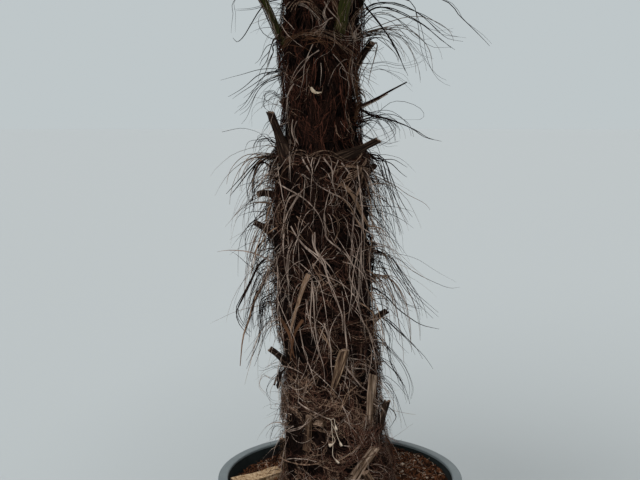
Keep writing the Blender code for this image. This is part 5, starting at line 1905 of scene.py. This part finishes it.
def make_slab():
    """A rough slab of split bark lying on the soil at the front left."""
    rng = random.Random(3)
    length, width, thickness = SLAB_SIZE
    bm = bmesh.new()
    bmesh.ops.create_cube(bm, size=1)
    bmesh.ops.subdivide_edges(bm, edges=bm.edges[:], cuts=2, use_grid_fill=True)
    for vertex in bm.verts:
        x, y, z = vertex.co
        taper_share = 1 - SLAB_TAPER * (x + 0.5)
        jag = either_way(rng, SLAB_JAG) if abs(y) > SLAB_JAG_FROM else 0
        vertex.co = (
            length * (x + 0.3 * jag),
            width * (y * taper_share + jag),
            thickness * z * (0.8 + 0.2 * taper_share),
        )
    bmesh.ops.subdivide_edges(bm, edges=bm.edges[:], cuts=7, use_grid_fill=True)
    bm.normal_update()
    ripples = [[rng.uniform(*limits) for limits in SLAB_WAVE_RANGES] for _ in range(SLAB_WAVES)]
    moves = []
    for vertex in bm.verts:
        x, y, z = vertex.co
        rough = sum(size * math.sin(a * x + b * (y + 0.6 * z) + phase) for a, b, phase, size in ripples)
        moves.append(vertex.normal * (SLAB_ROUGHNESS * rough - SLAB_SHRINK))
    for vertex, move in zip(bm.verts, moves):
        vertex.co += move
    mesh = finished_mesh("split_bark", bm)
    turn = Matrix.Rotation(math.radians(SLAB_TURN), 4, "Z")
    tilt = Matrix.Rotation(math.radians(SLAB_TILT), 4, "X")
    mesh.transform(Matrix.Translation(SLAB_PLACE) @ turn @ tilt)
    smooth(mesh, 40)
    add_piece("split_bark", mesh, ["slab"], ["bark_slab"])


def make_stage():
    """A plain pale floor, soft light from all round and above, and the photograph's camera."""
    bm = bmesh.new()
    bmesh.ops.create_circle(bm, cap_ends=True, segments=96, radius=FLOOR_RADIUS)
    floor = add_object("floor", finished_mesh("floor", bm))
    floor.data.materials.append(principled("floor_pale", FLOOR_COLOUR, 0.9))

    world = bpy.data.worlds.new("studio")
    world.use_nodes = True
    seen = world.node_tree.nodes["Background"]
    seen.inputs["Color"].default_value = (*BACKGROUND_COLOUR, 1)
    sky = add_node(world, "ShaderNodeBackground", Color=(*SKY_COLOUR, 1))
    path = add_node(world, "ShaderNodeLightPath")
    mix = add_node(world, "ShaderNodeMixShader")
    link(world, path, "Is Camera Ray", mix, 0)
    link(world, sky, "Background", mix, 1)
    link(world, seen, "Background", mix, 2)
    link(world, mix, "Shader", world.node_tree.nodes["World Output"], "Surface")
    bpy.context.scene.world = world
    bpy.context.scene.view_settings.view_transform = "Standard"

    for name, (place, angle, power) in SUNS.items():
        light = bpy.data.lights.new(name, "SUN")
        light.angle = math.radians(angle)
        light.energy = power
        lamp = add_object(name, light)
        lamp.rotation_euler = (-Vector(place)).to_track_quat("-Z", "Y").to_euler()

    data = bpy.data.cameras.new("photograph")
    data.lens = CAMERA_LENS
    data.sensor_width = SENSOR_WIDTH
    camera = add_object("photograph", data)
    camera.location = CAMERA_PLACE
    camera.rotation_euler = (CAMERA_PITCH, 0, 0)
    bpy.context.scene.camera = camera


make_core()
make_mat()
make_skirts()
make_hanging("strips", 12, STRIPS, "strip", GUTTER)
make_hanging("wisps", 19, WISPS, "fibre", TUBE)
make_seen_strands()
make_tufts()
make_leaf_bases()
make_fans()
make_spear()
make_pot()
make_soil()
make_chips()
make_soil_fibres()
make_flower_stalk()
make_curled_chip()
make_spike()
make_slab()
make_stalk_fibres()
make_stage()
